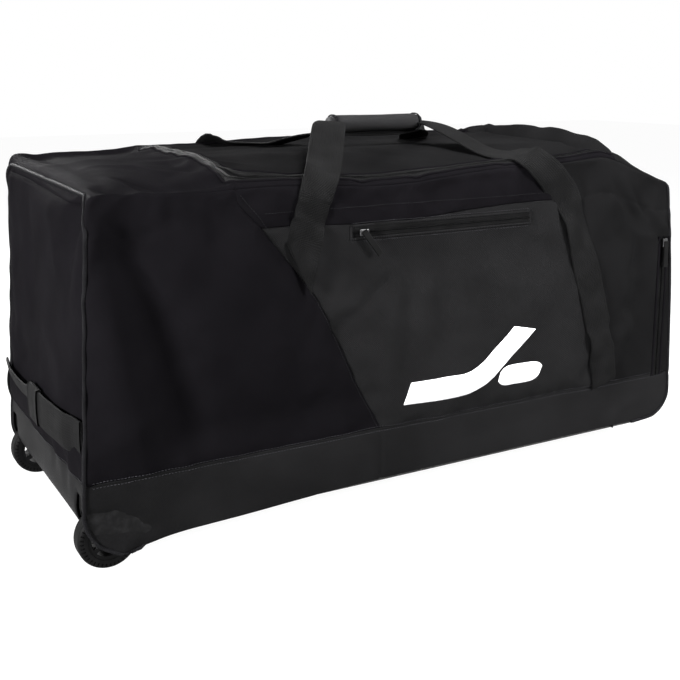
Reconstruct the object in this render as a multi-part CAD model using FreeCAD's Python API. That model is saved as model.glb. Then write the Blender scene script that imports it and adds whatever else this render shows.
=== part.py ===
"""Wheeled equipment bag: soft walls, zipped lid, carry straps, two wheels and skid feet.

Millimetres. +X runs along the bag away from the wheels, -Y is the face with the zipped
pocket, +Z is up. The origin is on the floor, under the middle of the bag.
"""
import FreeCAD, Part
import math
import os
from FreeCAD import Vector

# ---- driving dimensions ------------------------------------------------------
LENGTH = 1016.0          # bag body over its two ends
WIDTH = 406.0            # bag body over the front and back panels
TOP_Z = 497.0            # top face of the lid above the floor
BASE_Z = 30.0            # underside of the base above the floor
BOOT_SEAM_Z = 118.0      # seam between the coated boot and the walls
YOKE_Z = 440.0           # top of the front pocket and bottom of the yoke
CORNER_R = 50.0          # bottom corners of the front and back outline
TOP_CORNER_R = 20.0      # top corners of the same outline
TOP_LEAN = 20.0          # each end leans in by this much at the top
WALL = 3.0               # padded fabric wall
GAP = 0.3                # clearance between soft pieces that move apart

LID_X = (-295.0, 365.0)  # edges of the lid's opening
LID_HALF_Y = 182.0
ZIP_STOP_Y = 155.0       # the zip's legs end here, short of the lid's hinge
TAPE_W = 12.0
TAPE_T = 1.0
COIL_W = 5.0
COIL_T = 1.5

STRAP_W = 50.0
STRAP_T = 3.0
STRAP_MID_X = 33.0       # the carry straps are centred here
STRAP_HALF_TOP = 213.0   # from there to a leg's centre line at the top edge
STRAP_SLOPE = 0.31       # outward run of a leg for each millimetre down
STRAP_FREE_Z = 534.0     # top of the legs, where the free loop folds
ARCH_Y = 187.0           # a loop levels off this far from the bag's middle
FRONT_ARCH_Z = 551.0
BACK_ARCH_Z = 549.0
GRIP_HALF = 88.0
FRONT_GRIP_Z = 545.0
BACK_GRIP_Z = 523.5

WHEEL_R = 40.0
WHEEL_W = 28.0
WHEEL_X = -480.0
WHEEL_Y = 182.8
HUB_R = 28.0
BUSH_R = 7.0
AXLE_R = 4.0
RUNNING_FIT = 0.05
HOUSING_IN = 164.0       # inboard face of a wheel housing, from the bag's middle
HOUSING_END_X = -425.0
HOUSING_TOP_Z = 98.0
HOUSING_WELL_R = 45.0
CHEEK = 2.5              # outboard cheek of a housing, behind the boot

POCKET_T = 2.5           # pocket fabric
POCKET_DEPTH = 6.0       # clear depth of the flat front pocket
POCKET_ZIP_Z = 409.0
POCKET_ZIP_X = (-127.0, 186.0)
END_ZIP_X = 476.0
END_ZIP_Z = (116.0, 360.0)
SLIT = 9.0               # opening in the fabric under a zip
DIVIDER_X = 385.0        # wall between the main compartment and the end compartment

SLIDER = (14.0, 9.0, 3.0)
PULL = (44.0, 9.0, 2.4)
SCREW_R = 2.5

HALF_L = LENGTH / 2
HALF_W = WIDTH / 2
INNER_Y = HALF_W - WALL
FRONT_Y = (-HALF_W, -INNER_Y)
BACK_Y = (INNER_Y, HALF_W)
POCKET_Y = (-HALF_W - POCKET_T, -HALF_W)
FAR = 600.0              # beyond every face of the bag
Y_AXIS = Vector(0, 1, 0)
Z_AXIS = Vector(0, 0, 1)


# ---- helpers -------------------------------------------------------------------
def box(x, y, z):
    """A box from three (low, high) pairs."""
    return Part.makeBox(x[1] - x[0], y[1] - y[0], z[1] - z[0], Vector(x[0], y[0], z[0]))


def slab(x=(-FAR, FAR), y=(-FAR, FAR), z=(-FAR, FAR)):
    """A box that is unlimited in every direction that isn't given."""
    return box(x, y, z)


def around(middle, size):
    return (middle - size / 2, middle + size / 2)


def save(node, shapes):
    """Write one sub-part, given as a solid or as a list of separate solids."""
    shape = Part.makeCompound(shapes) if isinstance(shapes, list) else shapes
    shape.exportStep("parts/%s.step" % node)


def fused(shapes):
    return shapes[0].multiFuse(shapes[1:]).removeSplitter()


def prism_xz(points, y):
    """A closed X-Z polygon, extruded from y[0] to y[1]."""
    corners = [Vector(px, y[0], pz) for px, pz in points]
    face = Part.Face(Part.makePolygon(corners + corners[:1]))
    return face.extrude(Vector(0, y[1] - y[0], 0))


def prism_yz(points, x):
    """A closed Y-Z polygon, extruded from x[0] to x[1]."""
    corners = [Vector(x[0], py, pz) for py, pz in points]
    face = Part.Face(Part.makePolygon(corners + corners[:1]))
    return face.extrude(Vector(x[1] - x[0], 0, 0))


def prism_xy(points, z):
    """A closed X-Y polygon, extruded from z[0] to z[1]."""
    corners = [Vector(px, py, z[0]) for px, py in points]
    face = Part.Face(Part.makePolygon(corners + corners[:1]))
    return face.extrude(Vector(0, 0, z[1] - z[0]))


def cylinder_y(radius, y, x=WHEEL_X, z=WHEEL_R):
    return Part.makeCylinder(radius, y[1] - y[0], Vector(x, y[0], z), Y_AXIS)


def to_side(shape, side):
    """A shape drawn for the back (+Y), or its mirror image for the front (side -1)."""
    return shape if side > 0 else shape.mirror(Vector(0, 0, 0), Y_AXIS)


# ---- outline of the front and back panels ------------------------------------------
def arc(centre, radius, start, end):
    """An arc in the X-Z plane; angles in degrees run from +X towards +Z."""
    points = []
    for angle in (start, (start + end) / 2, end):
        turn = math.radians(angle)
        points.append(Vector(centre[0] + radius * math.cos(turn), 0, centre[1] + radius * math.sin(turn)))
    return Part.Arc(*points).toShape()


def outline(inset, y):
    """The bag seen from the front, moved in by inset, extruded from y[0] to y[1]."""
    low_x = HALF_L - CORNER_R
    low_z = BASE_Z + CORNER_R
    high_x = HALF_L - TOP_LEAN - TOP_CORNER_R
    high_z = TOP_Z - TOP_CORNER_R
    straight_x = math.hypot(high_x - low_x, high_z - low_z)
    lean = math.degrees(math.asin((CORNER_R - TOP_CORNER_R) / straight_x) - math.atan2(high_x - low_x, high_z - low_z))
    low_r = CORNER_R - inset
    high_r = TOP_CORNER_R - inset
    arcs = [arc((low_x, low_z), low_r, -90, lean),
            arc((high_x, high_z), high_r, lean, 90),
            arc((-high_x, high_z), high_r, 90, 180 - lean),
            arc((-low_x, low_z), low_r, 180 - lean, 270)]
    edges = []
    for this, following in zip(arcs, arcs[1:] + arcs[:1]):
        edges.append(this)
        edges.append(Part.makeLine(this.Vertexes[-1].Point, following.Vertexes[0].Point))
    solid = Part.Face(Part.Wire(edges)).extrude(Vector(0, y[1] - y[0], 0))
    solid.translate(Vector(0, y[0], 0))
    return solid


def gusset():
    """The band between the front and back panels: ends, base and top in one ring."""
    y = (-INNER_Y, INNER_Y)
    return outline(0, y).cut(outline(WALL, y))


GUSSET = gusset()
SIDE_TOP_Z = TOP_Z - TOP_CORNER_R


# ---- carry strap legs ---------------------------------------------------------------
def leg_x(side, z):
    """Centre line of a strap leg on the wall; side is -1 towards the wheels."""
    return STRAP_MID_X + side * (STRAP_HALF_TOP + STRAP_SLOPE * (TOP_Z - z))


def leg_plate(side, z, y):
    half = STRAP_W / 2
    low = leg_x(side, z[0])
    high = leg_x(side, z[1])
    points = [(low - half, z[0]), (low + half, z[0]), (high + half, z[1]), (high - half, z[1])]
    return prism_xz(points, y)


def strap_legs(wall_y):
    """The fixed legs of a strap, drawn on the back; they stand up past the bag's edge."""
    y = (wall_y, wall_y + STRAP_T)
    return [leg_plate(side, (BOOT_SEAM_Z + 2, STRAP_FREE_Z - 1), y) for side in (-1, 1)]


def strap_loop(wall_y, arch_z, grip_z):
    """The free loop of a carry strap, drawn on the back, from its two legs to the grip."""
    outer_y = wall_y + STRAP_T
    end_y = -9.0
    profile = [(outer_y, STRAP_FREE_Z), (ARCH_Y + 1.5, arch_z + STRAP_T), (end_y, grip_z + STRAP_T),
               (end_y, grip_z), (ARCH_Y, arch_z), (wall_y, STRAP_FREE_Z)]
    sheet = prism_yz(profile, (-FAR, FAR))
    half = STRAP_W / 2
    plans = [box(around(STRAP_MID_X, 2 * GRIP_HALF), (end_y, -end_y), (0, FAR))]
    for side in (-1, 1):
        start = leg_x(side, STRAP_FREE_Z)
        end = STRAP_MID_X + side * (GRIP_HALF - half)
        corners = [(start - half, outer_y), (start + half, outer_y), (end + half, end_y), (end - half, end_y)]
        plans.append(prism_xy(corners, (0, FAR)))
    return fused([sheet.common(plan) for plan in plans])


def front_strap():
    return to_side(strap_loop(HALF_W + POCKET_T, FRONT_ARCH_Z, FRONT_GRIP_Z), -1)


def back_strap():
    return strap_loop(HALF_W, BACK_ARCH_Z, BACK_GRIP_Z)


def front_strap_legs():
    """The left leg ends in the slanting front seam, the right one in the boot seam."""
    pieces = [to_side(leg, -1) for leg in strap_legs(HALF_W + POCKET_T)]
    area = between_seams((BOOT_SEAM_Z, TOP_Z + 60), (-FAR, 0))
    return [pieces[0].common(area), pieces[1]]


def back_strap_legs():
    return strap_legs(HALF_W)


def grip_wrap():
    """Padded sleeve closed round the front strap's middle."""
    x = around(STRAP_MID_X, 2 * GRIP_HALF - 12)
    middle_z = FRONT_GRIP_Z + STRAP_T / 2
    sleeve = box(x, (-17.0, 17.0), around(middle_z, 26.0))
    along = [edge for edge in sleeve.Edges if abs(edge.tangentAt(0).x) > 0.9]
    return sleeve.makeFillet(9.0, along).cut(front_strap())


# ---- front wall ------------------------------------------------------------------------
SEAM = ((-296.0, 480.0), (-261.0, 438.0), (-181.0, 320.0), (-124.0, 198.0), (-76.0, BOOT_SEAM_Z))


def seam_x(z):
    """X of the slanting front seam at height z."""
    for upper, lower in zip(SEAM, SEAM[1:]):
        if lower[1] <= z <= upper[1]:
            return lower[0] + (z - lower[1]) / (upper[1] - lower[1]) * (upper[0] - lower[0])
    return SEAM[0][0]


def between_seams(z, y, inset=0.0):
    """The front area from the slanting seam to the right strap's centre line."""
    left = [(seam_x(z[1]), z[1])] + [p for p in SEAM if z[0] < p[1] < z[1]] + [(seam_x(z[0]), z[0])]
    outline_points = [(px + inset, pz) for px, pz in left]
    outline_points += [(leg_x(1, z[0]) - inset, z[0]), (leg_x(1, z[1]) - inset, z[1])]
    return prism_xz(outline_points, y)


def front_left_panel():
    area = [(-FAR, TOP_Z), (SEAM[0][0], TOP_Z)] + list(SEAM) + [(-FAR, BOOT_SEAM_Z)]
    return outline(0, FRONT_Y).common(prism_xz(area, FRONT_Y))


def front_yoke():
    return between_seams((YOKE_Z, TOP_Z), FRONT_Y)


def front_right_panel():
    area = [(leg_x(1, TOP_Z), TOP_Z), (FAR, TOP_Z), (FAR, BOOT_SEAM_Z), (leg_x(1, BOOT_SEAM_Z), BOOT_SEAM_Z)]
    panel = outline(0, FRONT_Y).common(prism_xz(area, FRONT_Y))
    return panel.cut(slab(around(END_ZIP_X, SLIT), FRONT_Y, (END_ZIP_Z[0] + 8, END_ZIP_Z[1] - 8)))


def pocket_backing():
    y = (FRONT_Y[0] + POCKET_DEPTH, FRONT_Y[1] + POCKET_DEPTH)
    return between_seams((BOOT_SEAM_Z, YOKE_Z), y)


def pocket_skin():
    skin = between_seams((BOOT_SEAM_Z, YOKE_Z), POCKET_Y)
    x = (POCKET_ZIP_X[0] + 8, POCKET_ZIP_X[1] - 8)
    return skin.cut(slab(x, POCKET_Y, around(POCKET_ZIP_Z, SLIT)))


def pocket_binding():
    """Tape sewn round the pocket, between its skin and its backing."""
    y = (-HALF_W, -HALF_W + POCKET_DEPTH)
    tape = 3.0
    ring = between_seams((BOOT_SEAM_Z, YOKE_Z), y)
    return ring.cut(between_seams((BOOT_SEAM_Z + tape, YOKE_Z - tape), y, tape))


def emblem():
    """Generic patch: a slanted stick with its blade, and a puck."""
    y = (POCKET_Y[0] - 0.8, POCKET_Y[0])
    stick = [(-40.0, 158.0), (88.0, 158.0), (170.0, 236.0), (148.0, 236.0), (76.0, 176.0), (-34.0, 176.0)]
    puck = box((118.0, 196.0), y, (158.0, 180.0))
    upright = [edge for edge in puck.Edges if abs(edge.tangentAt(0).y) > 0.9]
    return [prism_xz(stick, y), puck.makeFillet(8.0, upright)]


# ---- back, ends, boot and top --------------------------------------------------------------
def back_panel():
    return outline(0, BACK_Y).common(slab(z=(BOOT_SEAM_Z, TOP_Z)))


def end_panel(side):
    x = (-FAR, 0) if side < 0 else (0, FAR)
    return GUSSET.common(slab(x, z=(BOOT_SEAM_Z, SIDE_TOP_Z)))


def boot_band(y):
    return outline(0, y).common(slab(z=(BASE_Z, BOOT_SEAM_Z)))


def housing_block(side):
    """The corner of the boot that a wheel housing fills."""
    inner = box((-FAR, HOUSING_END_X), (HOUSING_IN, INNER_Y), (0, HOUSING_TOP_Z))
    return to_side(inner, side)


def boot_wheel_end():
    band = GUSSET.common(slab((-FAR, HOUSING_END_X), z=(BASE_Z, BOOT_SEAM_Z)))
    for side in (-1, 1):
        band = band.cut(housing_block(side)).cut(axle(side))
    return band


def boot_far_end():
    return GUSSET.common(slab((HALF_L - CORNER_R, FAR), z=(BASE_Z, BOOT_SEAM_Z)))


def boot_floor():
    floor = GUSSET.common(slab((HOUSING_END_X, HALF_L - CORNER_R), z=(BASE_Z, BOOT_SEAM_Z)))
    for solid in housing_screws(1) + housing_screws(-1) + foot_screws(1) + foot_screws(-1):
        floor = floor.cut(solid)
    return floor


def top_panel(x, y=(-INNER_Y, INNER_Y)):
    return GUSSET.common(slab(x, y, (SIDE_TOP_Z, TOP_Z)))


def lid_panel():
    x = (LID_X[0] + GAP, LID_X[1] - GAP)
    return box(x, (-LID_HALF_Y + GAP, LID_HALF_Y - GAP), (TOP_Z - WALL, TOP_Z))


def piping(y):
    """Welt along the edge of the front or the back panel."""
    return outline(0, y).cut(outline(4.0, y))


def back_piping():
    welt = piping((HALF_W, HALF_W + POCKET_T))
    for leg in back_strap_legs():
        welt = welt.cut(leg)
    return welt


# ---- inside the bag ---------------------------------------------------------------------------
BOARD_Z = (BASE_Z + WALL, BASE_Z + WALL + 3.0)
BOARD_X = (-392.0, 440.0)


def base_board():
    board = box(BOARD_X, (-190.0, 190.0), BOARD_Z)
    for solid in foot_screws(1) + foot_screws(-1):
        board = board.cut(solid)
    return board


def end_divider():
    y = (-INNER_Y + GAP, INNER_Y - GAP)
    return box((DIVIDER_X, DIVIDER_X + 2.0), y, (BOARD_Z[1], TOP_Z - WALL - 30.0))


# ---- zips ------------------------------------------------------------------------------------------
def u_zip(side, width, z):
    """Strips along the lid's left, front and right edges; side +1 is outside the lid."""
    gap = 0.0 if side > 0 else -GAP
    left = sorted((LID_X[0] - gap, LID_X[0] - gap - side * width))
    right = sorted((LID_X[1] + gap, LID_X[1] + gap + side * width))
    front = sorted((-LID_HALF_Y - gap, -LID_HALF_Y - gap - side * width))
    strips = [box(left, (front[1], ZIP_STOP_Y), z), box(right, (front[1], ZIP_STOP_Y), z)]
    strips.append(box((left[0], right[1]), front, z))
    return fused(strips)


TAPE_Z = (TOP_Z, TOP_Z + TAPE_T)
COIL_Z = (TOP_Z + TAPE_T, TOP_Z + TAPE_T + COIL_T)


def main_coil():
    return u_zip(1, COIL_W, COIL_Z)


def slider(along, middle, outward):
    """A zip slider's body: along is its travel axis, outward the axis that it stands on."""
    size = [SLIDER[1]] * 3
    size[along] = SLIDER[0]
    size[outward] = SLIDER[2]
    low = Vector(*[middle[i] - size[i] / 2 for i in range(3)])
    body = Part.makeBox(size[0], size[1], size[2], low)
    return body.makeFillet(1.0, body.Edges)


def pull_tab(along, start, outward, direction):
    """A moulded pull that runs from start along one axis, thin along outward."""
    size = [PULL[1]] * 3
    size[along] = PULL[0]
    size[outward] = PULL[2]
    low = [start[i] - size[i] / 2 for i in range(3)]
    low[along] = start[along] if direction > 0 else start[along] - PULL[0]
    body = Part.makeBox(size[0], size[1], size[2], Vector(*low))
    return body.makeFillet(1.0, body.Edges)


MAIN_SLIDER_AT = (LID_X[1] + COIL_W, 140.0, COIL_Z[1] + GAP + SLIDER[2] / 2)
MAIN_PULL_AT = (MAIN_SLIDER_AT[0], MAIN_SLIDER_AT[1] - 4, MAIN_SLIDER_AT[2] + SLIDER[2] / 2 + GAP + PULL[2] / 2)
POCKET_TAPE_Y = (POCKET_Y[0] - TAPE_T, POCKET_Y[0])
POCKET_COIL_Y = (POCKET_TAPE_Y[0] - COIL_T, POCKET_TAPE_Y[0])
POCKET_SLIDER_AT = (POCKET_ZIP_X[0] + 16, POCKET_COIL_Y[0] - GAP - SLIDER[2] / 2, POCKET_ZIP_Z)
POCKET_PULL_Y = POCKET_SLIDER_AT[1] - SLIDER[2] / 2 - GAP - PULL[2] / 2
END_TAPE_Y = (FRONT_Y[0] - TAPE_T, FRONT_Y[0])
END_COIL_Y = (END_TAPE_Y[0] - COIL_T, END_TAPE_Y[0])
END_SLIDER_AT = (END_ZIP_X, END_COIL_Y[0] - GAP - SLIDER[2] / 2, END_ZIP_Z[1] - 14)
END_PULL_Y = END_SLIDER_AT[1] - SLIDER[2] / 2 - GAP - PULL[2] / 2
PULL_LEAN = 38.0         # the pocket's pull hangs this far from upright, in degrees


def pocket_tape():
    return box(POCKET_ZIP_X, POCKET_TAPE_Y, around(POCKET_ZIP_Z, 2 * TAPE_W))


def pocket_coil():
    return box((POCKET_ZIP_X[0] + 2, POCKET_ZIP_X[1] - 2), POCKET_COIL_Y, around(POCKET_ZIP_Z, COIL_W))


def pocket_pull():
    tab = pull_tab(2, (POCKET_SLIDER_AT[0], POCKET_PULL_Y, POCKET_ZIP_Z + 3), 1, -1)
    tab.rotate(Vector(*POCKET_SLIDER_AT), Vector(0, -1, 0), PULL_LEAN)
    return tab


def end_tape():
    return box(around(END_ZIP_X, 2 * TAPE_W), END_TAPE_Y, END_ZIP_Z)


def end_coil():
    return box(around(END_ZIP_X, COIL_W), END_COIL_Y, (END_ZIP_Z[0] + 2, END_ZIP_Z[1] - 2))


def end_pull():
    return pull_tab(2, (END_ZIP_X, END_PULL_Y, END_SLIDER_AT[2] + 3), 1, -1)


# ---- handles -------------------------------------------------------------------------------------------
def end_face_x(z):
    """Distance of the leaning end face from the bag's middle at height z."""
    low_z = BASE_Z + CORNER_R
    high_z = TOP_Z - TOP_CORNER_R
    return HALF_L - TOP_LEAN * (z - low_z) / (high_z - low_z)


def bowed_band(half_y, z, thickness, bow):
    """A webbing band across the +X end that bows out between its sewn ends."""
    root_x = end_face_x(z[0]) + STITCH_GAP
    inner = Part.Arc(Vector(root_x, -half_y, 0), Vector(root_x + bow, 0, 0), Vector(root_x, half_y, 0))
    outer = Part.Arc(Vector(root_x + thickness, half_y, 0), Vector(root_x + thickness + bow, 0, 0),
                     Vector(root_x + thickness, -half_y, 0))
    ends = [Part.makeLine(inner.EndPoint, outer.StartPoint), Part.makeLine(outer.EndPoint, inner.StartPoint)]
    wire = Part.Wire([inner.toShape(), ends[0], outer.toShape(), ends[1]])
    solid = Part.Face(wire).extrude(Vector(0, 0, z[1] - z[0]))
    solid.translate(Vector(0, 0, z[0]))
    return solid


HANDLE_Z = (152.0, 202.0)
HANDLE_BOW = 18.0
HAUL_Z = (300.0, 350.0)
HAUL_BOW = 24.0
STITCH_GAP = 0.5         # keeps a handle's ends just clear of the wall


def grab_handle():
    band = bowed_band(HALF_W - 6, HANDLE_Z, STRAP_T, HANDLE_BOW)
    return band.mirror(Vector(0, 0, 0), Vector(1, 0, 0))


def grab_keeper():
    """Short sleeve sewn round the middle of the grab handle."""
    x = end_face_x(HANDLE_Z[0]) + STITCH_GAP + HANDLE_BOW
    keeper = box((x - 2.5, x + STRAP_T + 2.5), (-22.0, 22.0), (HANDLE_Z[0] - 2, HANDLE_Z[1] + 2))
    band = bowed_band(HALF_W - 6, HANDLE_Z, STRAP_T, HANDLE_BOW)
    return keeper.cut(band).mirror(Vector(0, 0, 0), Vector(1, 0, 0))


def haul_handle():
    return bowed_band(120.0, HAUL_Z, STRAP_T, HAUL_BOW)


def haul_grip():
    x = end_face_x(HAUL_Z[0]) + STITCH_GAP + HAUL_BOW
    grip = box((x - 3.5, x + STRAP_T + 3.5), (-55.0, 55.0), (HAUL_Z[0] - 3, HAUL_Z[1] + 3))
    return grip.cut(haul_handle())


def corner_loop():
    """Small webbing loop at the back corner over the wheel."""
    y = (HALF_W + POCKET_T, HALF_W + POCKET_T + STRAP_T)
    x = -end_face_x(140.0)
    outer = [(x + 24, 186.0), (x + 4, 186.0), (x - 8, 160.0), (x - 8, 130.0), (x + 4, 104.0), (x + 24, 104.0)]
    return prism_xz(outer, y)


# ---- wheels ------------------------------------------------------------------------------------------------
RIB_COUNT = 40


def tyre(side):
    """Solid tyre with rounded shoulders, two grooves and notched shoulders."""
    half = WHEEL_W / 2
    shoulder = 6.0
    profile = [Vector(HUB_R, -half, 0), Vector(WHEEL_R - shoulder, -half, 0)]
    edges = [Part.makeLine(profile[0], profile[1])]
    bevel = shoulder * (1 - math.cos(math.radians(45)))
    edges.append(Part.Arc(profile[1], Vector(WHEEL_R - bevel, -half + bevel, 0),
                          Vector(WHEEL_R, -half + shoulder, 0)).toShape())
    edges.append(Part.makeLine(Vector(WHEEL_R, -half + shoulder, 0), Vector(WHEEL_R, half - shoulder, 0)))
    edges.append(Part.Arc(Vector(WHEEL_R, half - shoulder, 0), Vector(WHEEL_R - bevel, half - bevel, 0),
                          Vector(WHEEL_R - shoulder, half, 0)).toShape())
    edges.append(Part.makeLine(Vector(WHEEL_R - shoulder, half, 0), Vector(HUB_R, half, 0)))
    edges.append(Part.makeLine(Vector(HUB_R, half, 0), profile[0]))
    solid = Part.Face(Part.Wire(edges)).revolve(Vector(0, 0, 0), Y_AXIS, 360)
    notches = []
    for face in (-1, 1):
        for index in range(RIB_COUNT):
            notch = Part.makeBox(7.0, 3.0, 2.0, Vector(WHEEL_R - 7.5, face * half - 1.5, -1.0))
            notch.rotate(Vector(0, 0, 0), Y_AXIS, 360.0 * index / RIB_COUNT)
            notches.append(notch)
    solid = solid.cut(Part.makeCompound(notches))
    solid.translate(Vector(WHEEL_X, side * WHEEL_Y, WHEEL_R))
    return solid


def hub(side):
    """Moulded wheel centre with five open spokes."""
    y = around(WHEEL_Y, WHEEL_W - 2)
    body = cylinder_y(HUB_R, y)
    windows = cylinder_y(HUB_R - 5, y).cut(cylinder_y(BUSH_R + 5, y))
    spokes = []
    for index in range(5):
        spoke = box((WHEEL_X, WHEEL_X + HUB_R), y, around(WHEEL_R, 6.0))
        spoke.rotate(Vector(WHEEL_X, 0, WHEEL_R), Y_AXIS, 72.0 * index)
        spokes.append(spoke)
    windows = windows.cut(Part.makeCompound(spokes))
    body = body.cut(windows).cut(cylinder_y(BUSH_R, y))
    return to_side(body, side)


def bushes(side):
    """Two flanged bushes, pressed into the hub from either face."""
    pieces = []
    for face in (-1, 1):
        mouth = WHEEL_Y + face * (WHEEL_W / 2 - 1)
        sleeve = cylinder_y(BUSH_R, sorted((mouth, mouth - face * 9)))
        flange = cylinder_y(BUSH_R + 3, sorted((mouth, mouth + face * 1.0)))
        bore = cylinder_y(AXLE_R + RUNNING_FIT, (WHEEL_Y - WHEEL_W, WHEEL_Y + WHEEL_W))
        pieces.append(to_side(sleeve.fuse(flange).removeSplitter().cut(bore), side))
    return pieces


def axle(side):
    """Steel pin through both cheeks, with its head on the inboard side."""
    shank = cylinder_y(AXLE_R, (HOUSING_IN, INNER_Y))
    head = cylinder_y(AXLE_R + 3, (HOUSING_IN - 3, HOUSING_IN))
    return to_side(shank.fuse(head).removeSplitter(), side)


def housing(side):
    """Moulded wheel well that fills the boot's corner, with a flange inside the bag."""
    y = (HOUSING_IN, INNER_Y)
    block = outline(0, y).common(box((-FAR, HOUSING_END_X), y, (0, HOUSING_TOP_Z)))
    well = cylinder_y(HOUSING_WELL_R, (HOUSING_IN + 4, INNER_Y - CHEEK))
    block = block.cut(well).cut(cylinder_y(AXLE_R, y))
    flange = box((HOUSING_END_X, HOUSING_END_X + 26), (HOUSING_IN, INNER_Y), BOARD_Z)
    solid = to_side(block.fuse(flange).removeSplitter(), side)
    for screw in housing_screws(side):
        solid = solid.cut(screw)
    return solid


def screw_up(x, y, z):
    """A pan-head screw that enters upwards; its head is under z[0]."""
    shank = Part.makeCylinder(SCREW_R, z[1] - z[0], Vector(x, y, z[0]), Z_AXIS)
    head = Part.makeCylinder(2 * SCREW_R, 2.0, Vector(x, y, z[0] - 2), Z_AXIS)
    return shank.fuse(head).removeSplitter()


def housing_screws(side):
    x = HOUSING_END_X + 13
    return [screw_up(x, side * y, (BASE_Z, BOARD_Z[1])) for y in (HOUSING_IN + 9, INNER_Y - 9)]


# ---- skid feet ------------------------------------------------------------------------------------------------
FOOT_X = (330.0, 410.0)
FOOT_Y = 100.0
FOOT_FLANGE_T = 3.0


def foot_screws(side):
    xs = (FOOT_X[0] - 9, FOOT_X[1] + 9)
    z = (BASE_Z - FOOT_FLANGE_T, BOARD_Z[1])
    return [screw_up(x, side * FOOT_Y, z) for x in xs]


def skid_foot(side):
    """Moulded foot that carries the far end level with the wheels."""
    y = around(FOOT_Y, 34.0)
    runner = box(FOOT_X, y, (0, BASE_Z))
    low_edges = [e for e in runner.Edges if e.BoundBox.ZMax < 1 and abs(e.tangentAt(0).y) > 0.9]
    runner = runner.makeFillet(14.0, low_edges)
    flange = box((FOOT_X[0] - 18, FOOT_X[1] + 18), y, (BASE_Z - FOOT_FLANGE_T, BASE_Z))
    solid = to_side(runner.fuse(flange).removeSplitter(), side)
    for screw in foot_screws(side):
        solid = solid.cut(screw)
    return solid


# ---- write every sub-part ------------------------------------------------------------------------------------------
def save_shell():
    save("front_left_panel", front_left_panel())
    save("front_yoke", front_yoke())
    save("front_right_panel", front_right_panel())
    save("pocket_backing", pocket_backing())
    save("pocket_skin", pocket_skin())
    save("pocket_binding", pocket_binding())
    save("emblem", emblem())
    save("back_panel", back_panel())
    save("wheel_end_panel", end_panel(-1))
    save("far_end_panel", end_panel(1))
    save("boot_front", boot_band(FRONT_Y))
    save("boot_back", boot_band(BACK_Y))
    save("boot_wheel_end", boot_wheel_end())
    save("boot_far_end", boot_far_end())
    save("boot_floor", boot_floor())
    save("top_left_panel", top_panel((-FAR, LID_X[0])))
    save("top_right_panel", top_panel((LID_X[1], FAR)))
    save("top_front_band", top_panel(LID_X, (-INNER_Y, -LID_HALF_Y)))
    save("top_back_band", top_panel(LID_X, (LID_HALF_Y, INNER_Y)))
    save("lid_panel", lid_panel())
    save("front_piping", piping((-HALF_W - POCKET_T, -HALF_W)))
    save("back_piping", back_piping())
    save("base_board", base_board())
    save("end_divider", end_divider())


def save_zips():
    save("main_zip_tape", u_zip(1, TAPE_W, TAPE_Z))
    save("main_zip_coil", main_coil())
    save("lid_zip_tape", u_zip(-1, TAPE_W, TAPE_Z))
    save("main_zip_slider", slider(1, MAIN_SLIDER_AT, 2))
    save("main_zip_pull", pull_tab(1, MAIN_PULL_AT, 2, -1))
    save("pocket_zip_tape", pocket_tape())
    save("pocket_zip_coil", pocket_coil())
    save("pocket_zip_slider", slider(0, POCKET_SLIDER_AT, 1))
    save("pocket_zip_pull", pocket_pull())
    save("end_zip_tape", end_tape())
    save("end_zip_coil", end_coil())
    save("end_zip_slider", slider(2, END_SLIDER_AT, 1))
    save("end_zip_pull", end_pull())


def save_straps():
    save("front_strap_legs", front_strap_legs())
    save("back_strap_legs", back_strap_legs())
    save("front_strap", front_strap())
    save("back_strap", back_strap())
    save("grip_wrap", grip_wrap())
    save("grab_handle", grab_handle())
    save("grab_keeper", grab_keeper())
    save("haul_handle", haul_handle())
    save("haul_grip", haul_grip())
    save("corner_loop", corner_loop())


def save_running_gear():
    for name, side in (("front", -1), ("back", 1)):
        save("tyre_%s" % name, tyre(side))
        save("hub_%s" % name, hub(side))
        save("bushes_%s" % name, bushes(side))
        save("axle_%s" % name, axle(side))
        save("wheel_housing_%s" % name, housing(side))
        save("skid_foot_%s" % name, skid_foot(side))
    save("base_screws", foot_screws(-1) + foot_screws(1) + housing_screws(-1) + housing_screws(1))


os.makedirs("parts", exist_ok=True)
save_shell()
save_zips()
save_straps()
save_running_gear()
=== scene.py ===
"""Wheeled equipment bag: its looks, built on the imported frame.

Shapes are worked out in millimetres, and put in the scene in metres, on the frame's axes.
The walls are one continuous shell: drawn from the outline, sagged, settled with a short
cloth simulation, and only then split into its sewn panels. What is sewn onto it (straps,
zips, welts, stitches and the patch) is laid on the settled shell by casting rays at it.
"""
import bpy
import math
import numpy as np
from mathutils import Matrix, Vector, noise
from mathutils.bvhtree import BVHTree


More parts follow.
